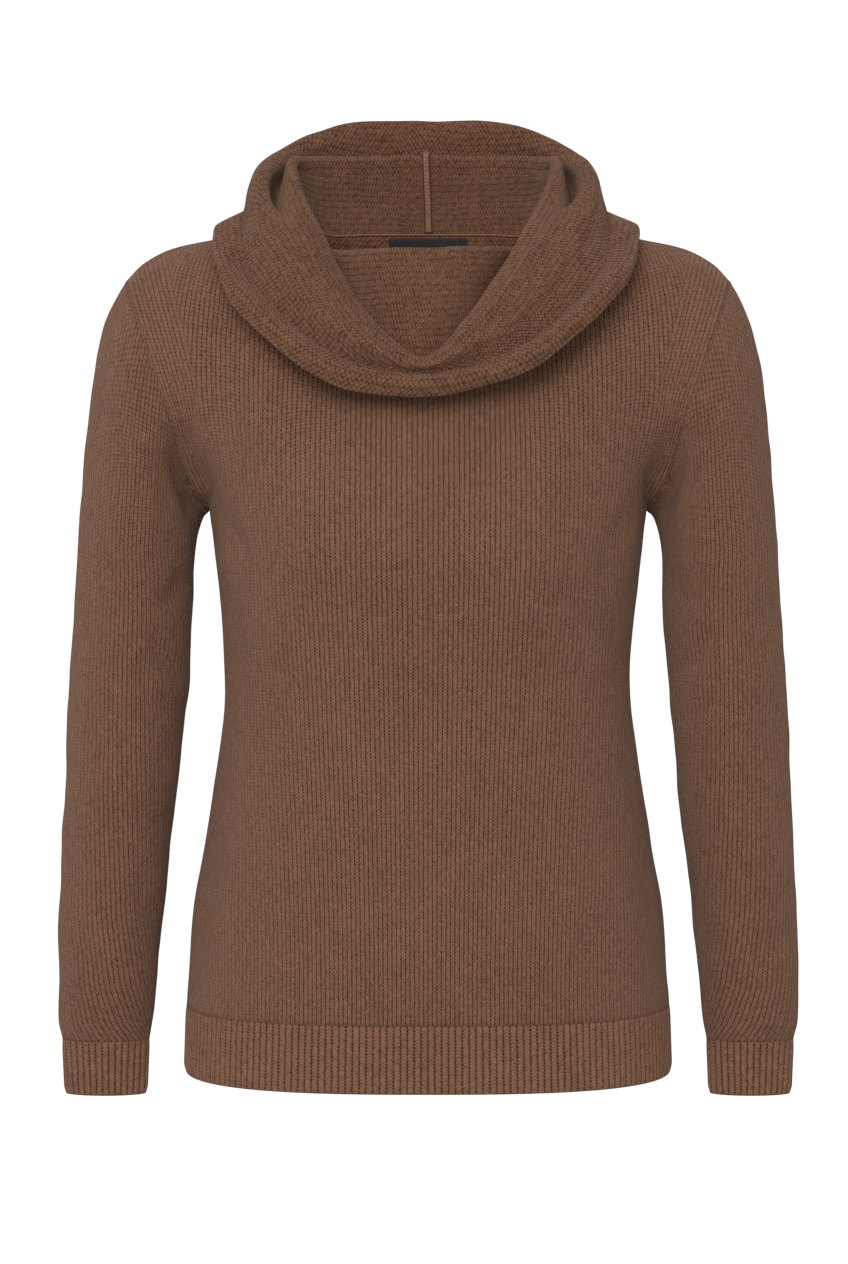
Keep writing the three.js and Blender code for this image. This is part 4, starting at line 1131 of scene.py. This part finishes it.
def collar_seam():
    middle = int(np.argmin(np.abs(collar_stations - 11)))
    line = collar[:, middle]
    heights = measured(line)
    top = heights[int(np.argmax(line[:60, 2]))] + 6
    reach = np.linspace(1, top, 260)
    centre = np.stack([np.interp(reach, heights, line[:, k]) for k in range(3)], axis=1)
    inwards = -unit(
        np.stack([np.interp(reach, heights, collar_normals[:, middle, k]) for k in range(3)], axis=1)
    )
    centre[:, 0] -= 0.4 + 2.4 * (reach / reach[-1])
    across = unit(np.cross(inwards, np.gradient(centre, axis=0)))
    wide = np.linspace(-1, 1, 15)
    round_top = np.sqrt(np.clip(1 - wide**2, 0, 1))
    chain = 0.5 + 0.5 * np.cos(2 * math.pi * (reach[:, None] / 2.5 + 0.35 * np.abs(wide)))
    groove = np.exp(-((wide / 0.16) ** 2))
    height = 3.3 * round_top * (0.86 + 0.14 * chain) - 0.5 * groove * round_top
    foot = centre[:, None] + across[:, None] * (wide * 3.2)[None, :, None]
    lift = COLLAR_WALL / 2 + 0.05
    outer = foot + inwards[:, None] * (lift + height)[..., None]
    inner = foot + inwards[:, None] * (lift - 0.2)
    if np.mean(np.cross(outer[1:, 1:] - outer[:-1, :-1], outer[1:, :-1] - outer[:-1, 1:]) * inwards[1:, None]) < 0:
        outer, inner = outer[:, ::-1], inner[:, ::-1]
    maps = {"stitches": (wide[None] + 0 * height, reach[:, None] / 2.5 + 0 * height)}
    piece = cloth_mesh("collar_seam_ridge", outer, inner, False, maps, [ridge_wool()])
    finish_piece(piece, ["collar_seam"])
    return piece


ridge = collar_seam()


def thread(name, points, radius, closed, material):
    """A round yarn along a line of points, made a mesh."""
    curve = bpy.data.curves.new(name, "CURVE")
    curve.dimensions = "3D"
    curve.bevel_depth = radius * 0.001
    curve.bevel_resolution = 2
    line = curve.splines.new("POLY")
    line.points.add(len(points) - 1)
    for point, place in zip(line.points, points):
        point.co = (*(place * 0.001), 1)
    line.use_cyclic_u = closed
    piece = bpy.data.objects.new(name, curve)
    bpy.context.scene.collection.objects.link(piece)
    bpy.ops.object.select_all(action="DESELECT")
    piece.select_set(True)
    bpy.context.view_layer.objects.active = piece
    bpy.ops.object.convert(target="MESH")
    piece.data.materials.append(material)
    piece.data.shade_smooth()
    return piece


# The linked neckline seam shows as a soft cord inside the neck
cord_stations = np.linspace(0, 14, 421)[:-1]
cord_line = through(COLLAR_FOLDS["neckline"], cord_stations, closed=True)
cord_out = np.stack([np.interp(cord_stations, all_stations, neck_ring[:, k]) for k in range(3)], axis=1)
cord_line = cord_line - cord_out * (BODY_WALL / 2 - 0.2)
neck_cord = thread("neckline_linking", cord_line, 1.1, True, INSIDE)
finish_piece(neck_cord, [])


# The plain strip sewn in under the back neckline


def neck_label():
    rows, normals = body["back"][::-1], body_normals["back"][::-1]
    middle = rows.shape[1] // 2
    near = range(middle - 16, middle + 17)
    drops = np.linspace(2.2, 18.5, 9)
    at_drop, normal_at = [], []
    for j in near:
        reached = measured(rows[:40, j])
        at_drop.append([np.interp(drops, reached, rows[:40, j, k]) for k in range(3)])
        normal_at.append([np.interp(drops, reached, normals[:40, j, k]) for k in range(3)])
    grid = np.array(at_drop).transpose(2, 0, 1)
    facing = np.array(normal_at).transpose(2, 0, 1)
    wanted = np.linspace(29, -29, 61)
    made = []
    for source in (grid, facing):
        made.append(
            np.array(
                [
                    np.stack([np.interp(-wanted, -row[:, 0], values[:, k]) for k in range(3)], axis=1)
                    for row, values in zip(grid, source)
                ]
            )
        )
    strip, facing = made[0][::-1], unit(made[1][::-1])
    ripple = 0.25 * np.sin(wanted * 0.21)[None, :, None]
    strip = strip - facing * (BODY_WALL / 2 + 0.9 + ripple)
    outer, inner = strip + facing * 0.4, strip - facing * 0.4
    down = drops[:, None] + 0 * wanted
    across = wanted[None] + 0 * drops[:, None]
    piece = cloth_mesh("neck_strip", outer, inner, False, {"stitches": (across, down)}, [LABEL])
    finish_piece(piece, ["neck_label"])


neck_label()


# Floor, light and camera


def studio():
    bpy.ops.object.select_all(action="DESELECT")
    bpy.ops.mesh.primitive_plane_add(size=60, location=(0, 0, 0))
    floor = bpy.context.active_object
    floor.name = "floor"
    for corner in floor.data.vertices:
        corner.co.z = -1.3
    pale = bpy.data.materials.new("pale_floor")
    pale.use_nodes = True
    pale.node_tree.nodes["Principled BSDF"].inputs["Base Color"].default_value = (0.97, 0.97, 0.97, 1)
    pale.node_tree.nodes["Principled BSDF"].inputs["Roughness"].default_value = 0.9
    floor.data.materials.append(pale)
    world = bpy.data.worlds.new("studio")
    world.use_nodes = True
    world.node_tree.nodes["Background"].inputs["Color"].default_value = (1, 1, 1, 1)
    world.node_tree.nodes["Background"].inputs["Strength"].default_value = 1.08
    bpy.context.scene.world = world
    for name, place, size, power in (
        ("soft_front", (-0.4, -2.4, 0.9), 1.3, 95),
        ("soft_above", (0.2, -1.2, 2.6), 1.8, 15),
    ):
        light = bpy.data.lights.new(name, "AREA")
        light.size = size
        light.energy = power
        lamp = bpy.data.objects.new(name, light)
        lamp.location = place
        lamp.rotation_euler = (Vector((0, 0, -0.25)) - Vector(place)).to_track_quat("-Z", "Y").to_euler()
        bpy.context.scene.collection.objects.link(lamp)


studio()

view = bpy.data.cameras.new("camera")
view.sensor_width = 36
view.lens = 87.02
view.shift_x = -0.00316
view.shift_y = -0.1044
camera = bpy.data.objects.new("camera", view)
camera.location = (0, -2.2, -0.212)
camera.rotation_euler = (math.pi / 2, 0, 0)
bpy.context.scene.collection.objects.link(camera)
bpy.context.scene.camera = camera
bpy.context.scene.view_settings.view_transform = "Standard"
